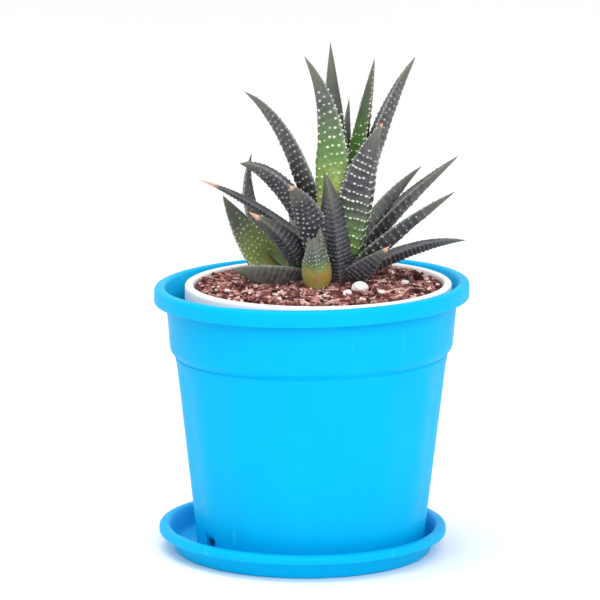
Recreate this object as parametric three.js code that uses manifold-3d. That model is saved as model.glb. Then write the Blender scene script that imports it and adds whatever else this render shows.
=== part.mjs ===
// Potted haworthia: a dark, white-dotted succulent with two offsets, in a thin white pot that stands
// inside a blue plastic pot on a blue saucer.
// Millimetres, +Z up. The origin is on the outer pot's axis, level with the saucer's underside.
// The front is -Y. A leaf's "around" angle is 0 to the front, 90 to +X, 180 to the back, -90 to -X.

import * as THREE from 'three';
import { mergeVertices } from 'three/addons/utils/BufferGeometryUtils.js';
import Module from 'manifold-3d';

const wasm = await Module();
wasm.setup();

// ---------------------------------------------------------------- driving dimensions

const GAP = 0.3;                    // clearance between pieces that touch

const RIM_RADIUS = 62.5;            // outer pot, over its collar
const RIM_TOP = 107.8;
const COLLAR_BOTTOM = 101.4;
const COLLAR_WALL = 1.5;
const BAND_RADIUS = 57.9;           // wall just under the collar
const STEP_TOP = 82.8;
const STEP_BOTTOM = 79.8;
const STEP_DEPTH = 2.3;
const POT_FOOT_RADIUS = 45.4;
const POT_WALL = 1.6;
const POT_SEGMENTS = 48;
const FLUTES = 16;
const FLUTE_DEPTH = 0.5;
const RIM_RISE = 1.6;               // the soft collar stands this much higher at +X, lower at -X
const DRAIN_SLOTS = 2;              // opposite each other
const DRAIN_SLOT_TURN = -60;        // degrees from the front, one slot shows at the left
const DRAIN_SLOT_WIDTH = 7;
const DRAIN_SLOT_HEIGHT = 7.3;

const SAUCER_X = -3.1;              // the pot stands a little off the saucer's centre
const SAUCER_FLOOR = 2.0;
const SAUCER_FOOT_RADIUS = 51.0;
const SAUCER_RIM_RADIUS = 57.4;
const SAUCER_INNER_RADIUS = 52.8;
const SAUCER_RIM_TOP = 10.4;
const SAUCER_RIM_BOTTOM = 6.9;
const SAUCER_SEGMENTS = 48;

const POT_FLOOR = SAUCER_FLOOR + 3; // top of the outer pot's floor

const LINER_X = 2.6;                // the white inner pot stands off centre too
const LINER_LIP_TOP = 107.9;
const LINER_LIP_RADIUS = 52.9;
const LINER_LIP_DROP = 7.0;
const LINER_MOUTH_RADIUS = 49.3;
const LINER_FOOT_RADIUS = 36.5;
const LINER_WALL = 1.1;
const LINER_RISE_X = 0.6;           // how far its lip runs out of level
const LINER_RISE_Y = 0.2;
const LINER_SEGMENTS = 40;

const SOIL_EDGE = 106.3;            // soil level against the inner pot
const SOIL_DOME = 1.8;              // and how much higher it lies in the middle
const SOIL_CHIP = 0.8;              // relief of the bark chips
const SOIL_RINGS = 8;
const SOIL_SEGMENTS = 36;
const STEM_DEPTH = 12;              // how deep the stems stand in the soil
const STEM_SEGMENTS = 10;

const LEAF_THICKNESS = 0.5;         // a leaf's depth for its width
const LEAF_HOLLOW = 0.12;           // how far its inner face is sunk, as a share of its depth
const LEAF_REACH = 0.5;             // how far along its chord a leaf keeps its first direction
const LEAF_ROOT = 0.7;              // where it is rooted, as a share of the stem's radius
const LEAF_FULLNESS = 0.6;          // how full it stays towards its tip: 0 is straight-sided, 1 is blunt
const LEAF_SIDES_INNER = 3;         // points across the flat inner face
const LEAF_SIDES_OUTER = 5;         // points across the keeled back
const LEAF_ROW = 6.0;               // distance between rows of tubercles
const TUBERCLE = 0.4;               // height of a tubercle

// ---------------------------------------------------------------- materials

const material = (color, roughness) => new THREE.MeshStandardMaterial({ color, roughness, metalness: 0 });
const bluePlastic = material(0x00b4f0, 0.3);
const whitePlastic = material(0xf1ecec, 0.45);
const barkSoil = material(0x7a4238, 0.95);
const paleStone = material(0xf4ece6, 0.8);
const stemGreen = material(0x8a9a3a, 0.6);
const darkLeaf = material(0x3c4a40, 0.5);
const greenLeaf = material(0x4f8a3a, 0.5);

// ---------------------------------------------------------------- mesh helpers

/** Turns the faces round if they point inwards, and keeps only position. */
function closed(geometry) {
  geometry.deleteAttribute('normal');
  geometry.deleteAttribute('uv');
  const merged = mergeVertices(geometry, 1e-4);
  const p = merged.attributes.position;
  const index = merged.index.array;
  const corner = [new THREE.Vector3(), new THREE.Vector3(), new THREE.Vector3()];
  let volume = 0;
  for (let i = 0; i < index.length; i += 3) {
    corner.forEach((v, k) => v.fromBufferAttribute(p, index[i + k]));
    volume += corner[0].dot(corner[1].clone().cross(corner[2]));
  }
  if (volume < 0) {
    for (let i = 0; i < index.length; i += 3) [index[i], index[i + 1]] = [index[i + 1], index[i]];
  }
  return merged;
}

function toSolid(geometry) {
  const shape = closed(geometry);
  return new wasm.Manifold(new wasm.Mesh({
    numProp: 3,
    vertProperties: new Float32Array(shape.attributes.position.array),
    triVerts: new Uint32Array(shape.index.array),
  }));
}

function toGeometry(solid) {
  const mesh = solid.getMesh();
  const geometry = new THREE.BufferGeometry();
  geometry.setAttribute('position', new THREE.BufferAttribute(new Float32Array(mesh.vertProperties), 3));
  geometry.setIndex(new THREE.BufferAttribute(new Uint32Array(mesh.triVerts), 1));
  return geometry;
}

/** The largest body of a solid; loose scraps are dropped. */
function largestBody(solid) {
  const bodies = solid.decompose();
  return bodies.reduce((best, body) => (body.volume() > best.volume() ? body : best));
}

/** Revolves [radius, height] points about Z. */
function revolve(profile, segments) {
  const geometry = new THREE.LatheGeometry(profile.map(([r, z]) => new THREE.Vector2(r, z)), segments);
  return geometry.rotateX(Math.PI / 2);
}

/** Moves each vertex of a geometry in place by a function of its position. */
function reshape(geometry, move) {
  const p = geometry.attributes.position;
  const v = new THREE.Vector3();
  for (let i = 0; i < p.count; i += 1) {
    v.fromBufferAttribute(p, i);
    move(v);
    p.setXYZ(i, v.x, v.y, v.z);
  }
  return geometry;
}

const smooth = (low, high, value) => THREE.MathUtils.smoothstep(value, low, high);

/** A repeatable draw between -1 and 1 for a pair of whole numbers. */
function draw(a, b) {
  const s = Math.sin(a * 127.1 + b * 311.7) * 43758.5453;
  return 2 * (s - Math.floor(s)) - 1;
}

const group = new THREE.Group();
group.name = 'potted_haworthia';

function place(name, geometry, finish) {
  const mesh = new THREE.Mesh(geometry, finish);
  mesh.name = name;
  group.add(mesh);
  return mesh;
}

// ---------------------------------------------------------------- pots

function makeSaucer() {
  const underRim = SAUCER_INNER_RADIUS + 1.0;
  const profile = [
    [0, 0],
    [SAUCER_FOOT_RADIUS - 0.6, 0],
    [SAUCER_FOOT_RADIUS, 0.7],
    [underRim, SAUCER_RIM_BOTTOM],
    [SAUCER_RIM_RADIUS - 0.5, SAUCER_RIM_BOTTOM],
    [SAUCER_RIM_RADIUS, SAUCER_RIM_BOTTOM + 0.6],
    [SAUCER_RIM_RADIUS, SAUCER_RIM_TOP - 1.4],
    [SAUCER_RIM_RADIUS - 1.0, SAUCER_RIM_TOP - 0.3],
    [SAUCER_INNER_RADIUS + 1.6, SAUCER_RIM_TOP],
    [SAUCER_INNER_RADIUS + 0.3, SAUCER_RIM_TOP - 0.5],
    [SAUCER_INNER_RADIUS - 0.3, SAUCER_RIM_TOP - 1.8],
    [SAUCER_FOOT_RADIUS - 0.9, SAUCER_FLOOR + 1.0],
    [SAUCER_FOOT_RADIUS - 2.0, SAUCER_FLOOR],
    [0, SAUCER_FLOOR],
  ];
  const geometry = closed(revolve(profile, SAUCER_SEGMENTS));
  place('saucer', geometry, bluePlastic).position.x = SAUCER_X;
}

/** Outer radius of the pot's plain wall under the step. */
function bodyRadius(z) {
  const top = BAND_RADIUS - 1.4 - STEP_DEPTH;
  return THREE.MathUtils.mapLinear(z, SAUCER_FLOOR, STEP_BOTTOM, POT_FOOT_RADIUS, top);
}

function makeOuterPot() {
  const bandBottom = BAND_RADIUS - 1.4;
  const foot = SAUCER_FLOOR;
  const fluteLow = foot + 9;
  const fluteHigh = STEP_BOTTOM - 6;
  const skirtInner = RIM_RADIUS - COLLAR_WALL;
  const profile = [
    [0, foot + 1.4],
    [POT_FOOT_RADIUS - 6, foot + 1.4],
    [POT_FOOT_RADIUS - 6.8, foot],
    [POT_FOOT_RADIUS - 0.8, foot],
    [bodyRadius(foot + 0.8), foot + 0.8],
    [bodyRadius(fluteLow), fluteLow],
    [bodyRadius(fluteHigh), fluteHigh],
    [bodyRadius(STEP_BOTTOM), STEP_BOTTOM],
    [bandBottom - 0.5, STEP_TOP - 1.2],
    [bandBottom, STEP_TOP],
    [BAND_RADIUS, COLLAR_BOTTOM + 2],
    [skirtInner, COLLAR_BOTTOM + 3.2],
    [skirtInner, COLLAR_BOTTOM],
    [RIM_RADIUS - 0.4, COLLAR_BOTTOM],
    [RIM_RADIUS, COLLAR_BOTTOM + 0.5],
    [RIM_RADIUS, RIM_TOP - 2.4],
    [RIM_RADIUS - 0.9, RIM_TOP - 0.7],
    [RIM_RADIUS - 2.4, RIM_TOP],
    [BAND_RADIUS + 0.9, RIM_TOP],
    [BAND_RADIUS + 0.3, RIM_TOP - 0.9],
    [BAND_RADIUS - POT_WALL, COLLAR_BOTTOM - 1],
    [bandBottom - POT_WALL, STEP_TOP],
    [bodyRadius(STEP_BOTTOM) - POT_WALL, STEP_BOTTOM],
    [bodyRadius(fluteHigh) - POT_WALL, fluteHigh],
    [bodyRadius(fluteLow) - POT_WALL, fluteLow],
    [bodyRadius(POT_FLOOR) - POT_WALL - 0.8, POT_FLOOR],
    [0, POT_FLOOR],
  ];
  const pot = revolve(profile, POT_SEGMENTS);
  reshape(pot, (v) => {
    const wave = 0.5 + 0.5 * Math.cos(FLUTES * Math.atan2(v.x, -v.y));
    const along = smooth(foot + 1, fluteLow, v.z) * (1 - smooth(fluteHigh, STEP_BOTTOM - 1, v.z));
    const radius = Math.hypot(v.x, v.y);
    const shrink = radius > 0 ? 1 - (FLUTE_DEPTH * wave * along) / radius : 1;
    v.set(v.x * shrink, v.y * shrink, v.z);
    v.z += (RIM_RISE * v.x * Math.max(0, v.z - POT_FLOOR)) / (RIM_RADIUS * (RIM_TOP - POT_FLOOR));
  });
  let solid = toSolid(pot);
  for (let i = 0; i < DRAIN_SLOTS; i += 1) {
    const turn = THREE.MathUtils.degToRad(DRAIN_SLOT_TURN) + (2 * Math.PI * i) / DRAIN_SLOTS;
    const slot = new THREE.BoxGeometry(DRAIN_SLOT_WIDTH, 14, 2 * DRAIN_SLOT_HEIGHT);
    slot.translate(0, -POT_FOOT_RADIUS - 1, foot).rotateZ(turn);
    solid = solid.subtract(toSolid(slot));
  }
  place('outer_pot', toGeometry(solid), bluePlastic);
}

/** Raises the inner pot and what fills it out of level, more the higher it is. */
function outOfLevel(v) {
  const share = Math.max(0, v.z - POT_FLOOR) / (LINER_LIP_TOP - POT_FLOOR);
  v.z += (share * (LINER_RISE_X * v.x + LINER_RISE_Y * v.y)) / LINER_LIP_RADIUS;
}

/** Inner radius of the white pot's wall. */
function linerRadius(z) {
  const foot = LINER_FOOT_RADIUS - LINER_WALL;
  return THREE.MathUtils.mapLinear(z, POT_FLOOR, LINER_LIP_TOP, foot, LINER_MOUTH_RADIUS);
}

function makeInnerPot() {
  const lipInner = LINER_LIP_RADIUS - LINER_WALL;
  const lipBottom = LINER_LIP_TOP - LINER_LIP_DROP;
  const underLip = LINER_LIP_TOP - 2.2;
  const profile = [
    [0, POT_FLOOR],
    [LINER_FOOT_RADIUS - 0.6, POT_FLOOR],
    [LINER_FOOT_RADIUS, POT_FLOOR + 0.8],
    [linerRadius(underLip) + LINER_WALL, underLip],
    [lipInner, underLip],
    [lipInner, lipBottom],
    [LINER_LIP_RADIUS, lipBottom],
    [LINER_LIP_RADIUS, LINER_LIP_TOP - 1.2],
    [LINER_LIP_RADIUS - 1.2, LINER_LIP_TOP],
    [LINER_MOUTH_RADIUS + 1.0, LINER_LIP_TOP],
    [LINER_MOUTH_RADIUS, LINER_LIP_TOP - 1.0],
    [linerRadius(POT_FLOOR + 2), POT_FLOOR + 2],
    [0, POT_FLOOR + 2],
  ];
  const geometry = reshape(revolve(profile, LINER_SEGMENTS), outOfLevel);
  place('inner_pot', closed(geometry), whitePlastic).position.x = LINER_X;
}

// ---------------------------------------------------------------- leaves

/** Share of a leaf's full width at t, from 0 at its root to 1 at its tip. */
function leafWidth(t, fullness) {
  const widest = 0.3;
  if (t < widest) return 1 - 0.32 * ((widest - t) / widest) ** 2;
  const q = (1 - t) / (1 - widest);
  return q * (1 + fullness * (1 - q));
}

/**
 * One leaf: a flat inner face, a keeled back and rows of raised tubercles.
 * swell makes a plain leaf, flat inside and this much fatter all round, for cutting its neighbours.
 */
function leafGeometry(leaf, swell = 0) {
  const outward = new THREE.Vector3(Math.sin(leaf.angle), -Math.cos(leaf.angle), 0);
  const level = new THREE.Vector3(-Math.cos(leaf.facing), -Math.sin(leaf.facing), 0);
  const chord = leaf.tip.distanceTo(leaf.root);
  const start = outward.clone().multiplyScalar(Math.cos(leaf.rise));
  start.z = Math.sin(leaf.rise);
  const bend = leaf.root.clone().addScaledVector(start, leaf.reach * chord);
  const spine = new THREE.QuadraticBezierCurve3(leaf.root, bend, leaf.tip);
  const rows = Math.max(5, Math.round(chord / LEAF_ROW));
  const sides = LEAF_SIDES_INNER + LEAF_SIDES_OUTER + 2;
  const points = [];
  for (let row = 0; row < rows; row += 1) {
    const t = row / rows;
    const centre = spine.getPoint(t);
    const along = spine.getTangent(t);
    const side = level.clone().addScaledVector(along, -level.dot(along)).normalize();
    const face = side.clone().cross(along).normalize();
    if (row === 0) centre.addScaledVector(along, -swell);
    const share = leafWidth(t, leaf.fullness);
    const half = 0.5 * leaf.width * share + swell;
    const depth = leaf.depth * share ** 0.8;
    const hollow = swell === 0 ? LEAF_HOLLOW * depth : 0;
    for (let k = 0; k < sides; k += 1) {
      const inner = k > 0 && k <= LEAF_SIDES_INNER;
      const outer = k > LEAF_SIDES_INNER + 1;
      let u = k === 0 ? 1 : -1;
      if (inner) u = 1 - (2 * k) / (LEAF_SIDES_INNER + 1);
      if (outer) u = -Math.cos((Math.PI * (k - LEAF_SIDES_INNER - 1)) / (LEAF_SIDES_OUTER + 1));
      let height = 0;
      if (inner) height = -hollow * (1 - u * u) + swell;
      if (outer) height = -depth * (1 - Math.abs(u) ** 1.7) ** 0.75 - swell;
      height += (0.5 - leaf.proud) * depth;
      const bump = swell === 0 && row > 0 && (inner || outer) && (row + k) % 2 === 0 ? TUBERCLE : 0;
      const lift = inner ? bump : -bump;
      points.push(centre.clone().addScaledVector(side, u * half).addScaledVector(face, height + lift));
    }
  }
  const last = spine.getTangent(1);
  points.push(leaf.tip.clone().addScaledVector(last, swell));
  points.push(spine.getPoint(0).addScaledVector(spine.getTangent(0), -swell));
  const tip = points.length - 2;
  const root = points.length - 1;
  const index = [];
  for (let k = 0; k < sides; k += 1) {
    const next = (k + 1) % sides;
    for (let row = 0; row < rows - 1; row += 1) {
      const a = row * sides + k;
      const b = row * sides + next;
      index.push(a, b, a + sides, b, b + sides, a + sides);
    }
    index.push((rows - 1) * sides + k, (rows - 1) * sides + next, tip);
    index.push(next, k, root);
  }
  const geometry = new THREE.BufferGeometry();
  geometry.setAttribute('position', new THREE.Float32BufferAttribute(points.flatMap((p) => p.toArray()), 3));
  geometry.setIndex(index);
  return geometry;
}

// Each rosette: where its stem stands, and its leaves from the crown outwards.
// around: the way the leaf sets off. facing: the way its back faces, where that differs.
// from: height of its root above the stem's foot. rise: how steeply it starts. reach: how far along
// its chord it keeps its first direction. tip: where it ends. width: its full width. fullness: how
// full it stays towards its tip. proud: how far it stands out from the line through its root, as a
// share of its depth.
const ROSETTES = [
  {
    name: 'main', x: 10, y: 1, height: 29, stemRadius: 8,
    leaves: [
      { name: 'crown_left', around: -60, from: 23, rise: 100, reach: 0.66,
        tip: [-3.6, -8, 199], width: 18, fullness: 0.1, proud: 0.45 },
      { name: 'crown_back', around: 188, from: 27, rise: 79, reach: 0.45,
        tip: [6.9, 9, 202.9], width: 11, proud: 0.5 },
      { name: 'crown_right', around: 128, from: 25, rise: 77,
        tip: [24.4, 8, 196.4], width: 10.5, proud: 0.5 },
      { name: 'crown_sliver', around: 160, from: 18, rise: 80, tip: [14.9, 20, 179.7], width: 7.5 },
      { name: 'long_right', around: 92, from: 19, rise: 77, reach: 0.65,
        tip: [40.5, 6, 197.2], width: 14, proud: 0.15 },
      { name: 'upper_right', around: 72, from: 6, rise: 72,
        tip: [43.7, 8, 153.5], width: 12, fullness: 0.8, proud: 0.15 },
      { name: 'broad_front', around: 36, from: 13, rise: 82, reach: 0.7,
        tip: [27.2, -12, 173.7], width: 17, proud: 0.75 },
      { name: 'long_left', around: -98, facing: -82, from: 9, rise: 79, reach: 0.75,
        tip: [-27, 6, 183], width: 14, proud: 0.1 },
      { name: 'purple_front', around: -55, from: 6, rise: 74, reach: 0.75,
        tip: [-9, -20, 149.7], width: 17.5, fullness: 0.9, proud: 0.4 },
      { name: 'arched_left', around: -90, from: 8, rise: 67, reach: 0.75,
        tip: [-28.8, -5, 156], width: 17 },
      { name: 'mid_right', around: 93, from: 7, rise: 57, reach: 0.4,
        tip: [58, 2, 158.6], width: 13.5, proud: 0.15 },
      { name: 'centre_front', around: 6, from: 0.5, rise: 68, reach: 0.4,
        tip: [4.3, -18, 155.5], width: 15.5, proud: 0.1 },
      { name: 'low_right', around: 70, from: 3, rise: 47, tip: [56, -12, 146.3], width: 12, proud: 0.1 },
      { name: 'ground_right', around: 102, from: 1.5, rise: 30, reach: 0.63,
        tip: [61.4, 5, 124], width: 10, proud: 0.25 },
      { name: 'short_right', around: 44, from: 2.5, rise: 29, tip: [30, -15, 125], width: 13.5, proud: 0.3 },
      { name: 'orange_tip', around: -112, from: 8.5, rise: 38, reach: 0.6,
        tip: [-45, 8, 147.6], width: 6.5, fullness: 0.9, proud: 0.2 },
      { name: 'back_upper', around: 200, from: 15, rise: 68, tip: [7, 30, 165], width: 12 },
      { name: 'back_high', around: 150, from: 12, rise: 58, tip: [21, 34, 149], width: 12 },
      { name: 'back_left', around: 222, from: 4, rise: 42, tip: [-9, 38, 128], width: 12 },
      { name: 'back_middle', around: 186, from: 3, rise: 34, tip: [8, 49, 127], width: 12.5 },
      { name: 'back_right', around: 140, from: 2, rise: 28, tip: [38, 40, 121], width: 12 },
    ],
  },
  {
    name: 'left', x: -6.5, y: 8, height: 12, stemRadius: 5,
    leaves: [
      { name: 'upright', around: -132, from: 5, rise: 32, reach: 0.7,
        tip: [-23.8, 17, 157], width: 9, proud: 0.65 },
      { name: 'green_broad', around: -98, facing: -140, from: 0, rise: 45, reach: 0.42,
        tip: [-35.3, -2, 143], width: 16, proud: 0.75 },
      { name: 'pink_tip', around: 10, from: 6, rise: 39,
        tip: [-25.6, -9, 137.7], width: 10, fullness: 0.9, proud: 0.5 },
      { name: 'on_soil', around: -24, facing: -20, from: -0.5, rise: 10, reach: 0.45,
        tip: [-31.7, -10, 114.8], width: 19, fullness: 0.9 },
      { name: 'back_low', around: 182, from: 1.5, rise: 32, tip: [-14, 40, 119], width: 11 },
      { name: 'back_side', around: -160, from: 1, rise: 26, tip: [-24, 36, 117], width: 10.5 },
    ],
  },
  {
    name: 'small', x: 1.6, y: -14, height: 7, stemRadius: 2.6,
    leaves: [
      { name: 'crown', around: 20, from: 4, rise: 84, tip: [3, -19, 133.6], width: 8, proud: 0.5 },
      { name: 'side', around: -80, from: 3, rise: 84, tip: [-1.5, -17, 129.3], width: 8.5, proud: 0.15 },
      { name: 'front', around: 6, from: 0.5, rise: 90,
        tip: [0.2, -22, 129.8], width: 12, fullness: 0.9, proud: 0.5 },
    ],
  },
];

for (const rosette of ROSETTES) rosette.foot = soilLevel(rosette.x, rosette.y);

/** Height of the soil's smooth surface, before chips, at a point of the part. */
function soilLevel(x, y) {
  const share = Math.hypot(x - LINER_X, y) / (linerRadius(SOIL_EDGE) - GAP);
  const surface = new THREE.Vector3(x - LINER_X, y, SOIL_EDGE + SOIL_DOME * (1 - share * share));
  outOfLevel(surface);
  return surface.z;
}

/** A stem tapers evenly to half its radius at the crown. */
function stemRadiusAt(rosette, height) {
  return rosette.stemRadius * (1 - (0.5 * height) / rosette.height);
}

function fullLeaf(rosette, leaf) {
  const angle = THREE.MathUtils.degToRad(leaf.around);
  const out = LEAF_ROOT * stemRadiusAt(rosette, leaf.from);
  const root = new THREE.Vector3(
    rosette.x + out * Math.sin(angle),
    rosette.y - out * Math.cos(angle),
    rosette.foot + leaf.from,
  );
  return {
    name: `${rosette.name}_leaf_${leaf.name}`,
    angle,
    facing: THREE.MathUtils.degToRad(leaf.facing ?? leaf.around),
    root,
    rise: THREE.MathUtils.degToRad(leaf.rise),
    reach: leaf.reach ?? LEAF_REACH,
    tip: new THREE.Vector3(...leaf.tip),
    width: leaf.width,
    fullness: leaf.fullness ?? LEAF_FULLNESS, proud: leaf.proud ?? 0,
    depth: LEAF_THICKNESS * leaf.width,
  };
}

/** A rosette's stem, tapering to its crown. swell makes it fatter, for cutting what stands against it. */
function stemGeometry(rosette, swell = 0) {
  const low = rosette.foot - STEM_DEPTH;
  const high = rosette.foot + rosette.height;
  const profile = [
    [0, low - swell],
    [0.8 * rosette.stemRadius + swell, low - swell],
    [rosette.stemRadius + swell, rosette.foot],
    [stemRadiusAt(rosette, rosette.height - 2) + swell, high - 2],
    [0.25 * rosette.stemRadius + swell, high + swell],
    [0, high + swell],
  ];
  return revolve(profile, STEM_SEGMENTS).translate(rosette.x, rosette.y, 0);
}

/** Builds every leaf, each trimmed where it meets a stem or a leaf nearer the crown. */
function makePlant() {
  const clearance = GAP + TUBERCLE;
  const trimmers = ROSETTES.map((rosette) => toSolid(stemGeometry(rosette, GAP)));
  for (const rosette of ROSETTES) {
    place(`${rosette.name}_stem`, closed(stemGeometry(rosette)), stemGreen);
    for (const entry of rosette.leaves) {
      const leaf = fullLeaf(rosette, entry);
      let solid = toSolid(leafGeometry(leaf));
      for (const trimmer of trimmers) solid = solid.subtract(trimmer);
      const finish = entry.name.includes('crown') || entry.name.includes('green') ? greenLeaf : darkLeaf;
      place(leaf.name, toGeometry(largestBody(solid)), finish);
      trimmers.push(toSolid(leafGeometry(leaf, clearance)));
    }
  }
  return trimmers;
}

// ---------------------------------------------------------------- soil and stones

// at: where it lies. sit: height of its middle over the soil. size: half its length, width and height.
const STONES = [
  { name: 'stone_large', at: [18.7, -17], sit: 0.9, size: [3.6, 2.8, 2.6], turn: 20 },
  { name: 'stone_small', at: [13.4, -26.5], sit: 0.6, size: [1.8, 1.6, 1.7], turn: 50 },
  { name: 'stone_right', at: [36.8, -2], sit: 0.4, size: [1.9, 1.5, 1.3], turn: -30 },
];

function stoneGeometry(stone, swell = 0) {
  const geometry = new THREE.IcosahedronGeometry(1, 1);
  reshape(geometry, (v) => {
    const dent = 1 + 0.09 * Math.sin(5 * v.x + 2 * stone.turn) + 0.07 * Math.sin(6 * v.y - v.z);
    v.multiplyScalar(dent).multiply(new THREE.Vector3(...stone.size.map((s) => s + swell)));
  });
  const height = soilLevel(...stone.at) + stone.sit;
  return geometry.rotateZ(THREE.MathUtils.degToRad(stone.turn)).translate(...stone.at, height);
}

/** The soil: a cone-sided fill with a low dome of bark chips, and holes for stems, stones and low leaves. */
function makeSoil(trimmers) {
  const floor = POT_FLOOR + 2 + GAP;
  const points = [];
  const index = [];
  for (let ring = 0; ring <= SOIL_RINGS; ring += 1) {
    const share = (ring + 1) / (SOIL_RINGS + 1);
    for (let k = 0; k < SOIL_SEGMENTS; k += 1) {
      const angle = (2 * Math.PI * (k + 0.5 * (ring % 2))) / SOIL_SEGMENTS;
      const edge = linerRadius(SOIL_EDGE) - GAP;
      const chip = ring < SOIL_RINGS ? SOIL_CHIP * draw(ring, k) : 0;
      const z = SOIL_EDGE + SOIL_DOME * (1 - share * share) + chip;
      points.push(share * edge * Math.cos(angle), share * edge * Math.sin(angle), z);
    }
  }
  for (let k = 0; k < SOIL_SEGMENTS; k += 1) {
    const angle = (2 * Math.PI * (k + 0.5 * (SOIL_RINGS % 2))) / SOIL_SEGMENTS;
    const radius = linerRadius(floor) - GAP;
    points.push(radius * Math.cos(angle), radius * Math.sin(angle), floor);
  }
  const centre = points.length / 3;
  points.push(0, 0, SOIL_EDGE + SOIL_DOME, 0, 0, floor);
  for (let ring = 0; ring <= SOIL_RINGS; ring += 1) {
    for (let k = 0; k < SOIL_SEGMENTS; k += 1) {
      const next = (k + 1) % SOIL_SEGMENTS;
      const row = ring * SOIL_SEGMENTS;
      const a = row + k;
      const b = row + next;
      const c = a + SOIL_SEGMENTS;
      const d = b + SOIL_SEGMENTS;
      const shifted = ring < SOIL_RINGS && ring % 2 === 1;
      if (shifted) index.push(a, c, d, a, d, b);
      else index.push(a, c, b, b, c, d);
    }
  }
  const last = (SOIL_RINGS + 1) * SOIL_SEGMENTS;
  for (let k = 0; k < SOIL_SEGMENTS; k += 1) {
    const next = (k + 1) % SOIL_SEGMENTS;
    index.push(centre, k, next, centre + 1, last + next, last + k);
  }
  const soil = new THREE.BufferGeometry();
  soil.setAttribute('position', new THREE.Float32BufferAttribute(points, 3));
  soil.setIndex(index);
  reshape(soil, outOfLevel).translate(LINER_X, 0, 0);
  let solid = toSolid(soil);
  for (const trimmer of trimmers) solid = solid.subtract(trimmer);
  for (const stone of STONES) solid = solid.subtract(toSolid(stoneGeometry(stone, GAP)));
  place('soil', toGeometry(largestBody(solid)), barkSoil);
}

function makeStones() {
  for (const stone of STONES) place(stone.name, closed(stoneGeometry(stone)), paleStone);
}

makeSaucer();
makeOuterPot();
makeInnerPot();
const trimmers = makePlant();
makeSoil(trimmers);
makeStones();

export default group;
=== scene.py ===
"""Looks of a potted haworthia: a dotted rosette and its two offsets in a thin white pot, inside a blue pot.

Lengths are in metres, +Z is up and the front faces -Y. The origin is on the blue pot's axis, level with the
underside of its saucer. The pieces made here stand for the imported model's nodes, and keep their sizes.
"""

import logging
import math
import random
from dataclasses import dataclass
from enum import Enum
from typing import Iterator, Sequence

import bmesh
import bpy
from mathutils import Matrix, Vector, noise


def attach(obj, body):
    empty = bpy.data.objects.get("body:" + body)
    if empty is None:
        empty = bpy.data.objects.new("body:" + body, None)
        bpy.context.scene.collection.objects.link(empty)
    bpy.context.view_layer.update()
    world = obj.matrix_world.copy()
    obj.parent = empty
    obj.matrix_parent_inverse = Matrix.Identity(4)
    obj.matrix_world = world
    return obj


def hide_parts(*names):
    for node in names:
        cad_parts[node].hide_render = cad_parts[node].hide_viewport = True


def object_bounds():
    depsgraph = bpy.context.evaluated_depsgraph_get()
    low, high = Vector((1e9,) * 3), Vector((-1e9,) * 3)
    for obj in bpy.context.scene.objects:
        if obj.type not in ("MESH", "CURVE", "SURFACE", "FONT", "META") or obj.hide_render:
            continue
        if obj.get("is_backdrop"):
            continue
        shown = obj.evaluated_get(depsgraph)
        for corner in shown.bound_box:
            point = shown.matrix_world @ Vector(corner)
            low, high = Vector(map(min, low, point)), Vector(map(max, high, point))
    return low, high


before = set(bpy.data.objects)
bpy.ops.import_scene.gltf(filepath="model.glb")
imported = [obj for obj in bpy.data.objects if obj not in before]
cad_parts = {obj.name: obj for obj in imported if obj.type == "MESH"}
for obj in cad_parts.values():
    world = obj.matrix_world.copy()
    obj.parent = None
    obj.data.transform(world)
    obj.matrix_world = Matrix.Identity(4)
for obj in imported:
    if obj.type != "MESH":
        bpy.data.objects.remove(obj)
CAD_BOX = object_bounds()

LOG = logging.getLogger("haworthia")
Triple = tuple[float, float, float]      # a place or three sizes
Colour = tuple[float, float, float]      # red, green and blue, linear
Zones = tuple[float, float, float, float]  # what a vertex colour holds

BODY = "root"                # a row with no joints has this one body
WELD = 1e-6                  # vertices nearer than this are one
GAP = 0.0003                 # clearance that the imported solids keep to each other
ZONES = "zones"              # vertex colour: how green, how lime, how dry and how near the margin a leaf is
RELIEF = "relief"            # vertex colour: how near its tip, how high on a ridge and how near its keel
TINT = "tint"                # vertex value that picks a chip's colour


# ---------------------------------------------------------------- small helpers


def smooth_step(low: float, high: float, value: float) -> float:
    """Rises smoothly from 0 at low to 1 at high."""
    share = min(1.0, max(0.0, (value - low) / (high - low)))
    return share * share * (3.0 - 2.0 * share)


def lerp(start: float, end: float, share: float) -> float:
    """The value at a share of the way from start to end."""
    return start + (end - start) * share


def add_piece(name: str, bm: bmesh.types.BMesh, materials: Sequence[bpy.types.Material],
              nodes: Sequence[str] = ()) -> bpy.types.Object:
    """Makes a finished piece of the object from a bmesh, and frees the bmesh.

    Args:
        name: The piece's name.
        bm: Its mesh, in the row's frame.
        materials: Its materials, in the order of the faces' material indices.
        nodes: The CAD nodes that it stands for.

    Returns:
        The new object, riding on the body.
    """
    mesh = bpy.data.meshes.new(name)
    bm.to_mesh(mesh)
    bm.free()
    for material in materials:
        mesh.materials.append(material)
    piece = bpy.data.objects.new(name, mesh)
    bpy.context.scene.collection.objects.link(piece)
    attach(piece, BODY)
    if nodes:
        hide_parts(*nodes)
    LOG.info("%s: %d faces", name, len(mesh.polygons))
    return piece


def pour(small: bmesh.types.BMesh, target: bmesh.types.BMesh) -> None:
    """Moves a small mesh into a larger one, because an operator slows down as its mesh grows.

    Args:
        small: The mesh to move, which is freed.
        target: The mesh that takes it in.
    """
    carrier = bpy.data.meshes.new("carrier")
    small.to_mesh(carrier)
    small.free()
    target.from_mesh(carrier)
    bpy.data.meshes.remove(carrier)


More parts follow.
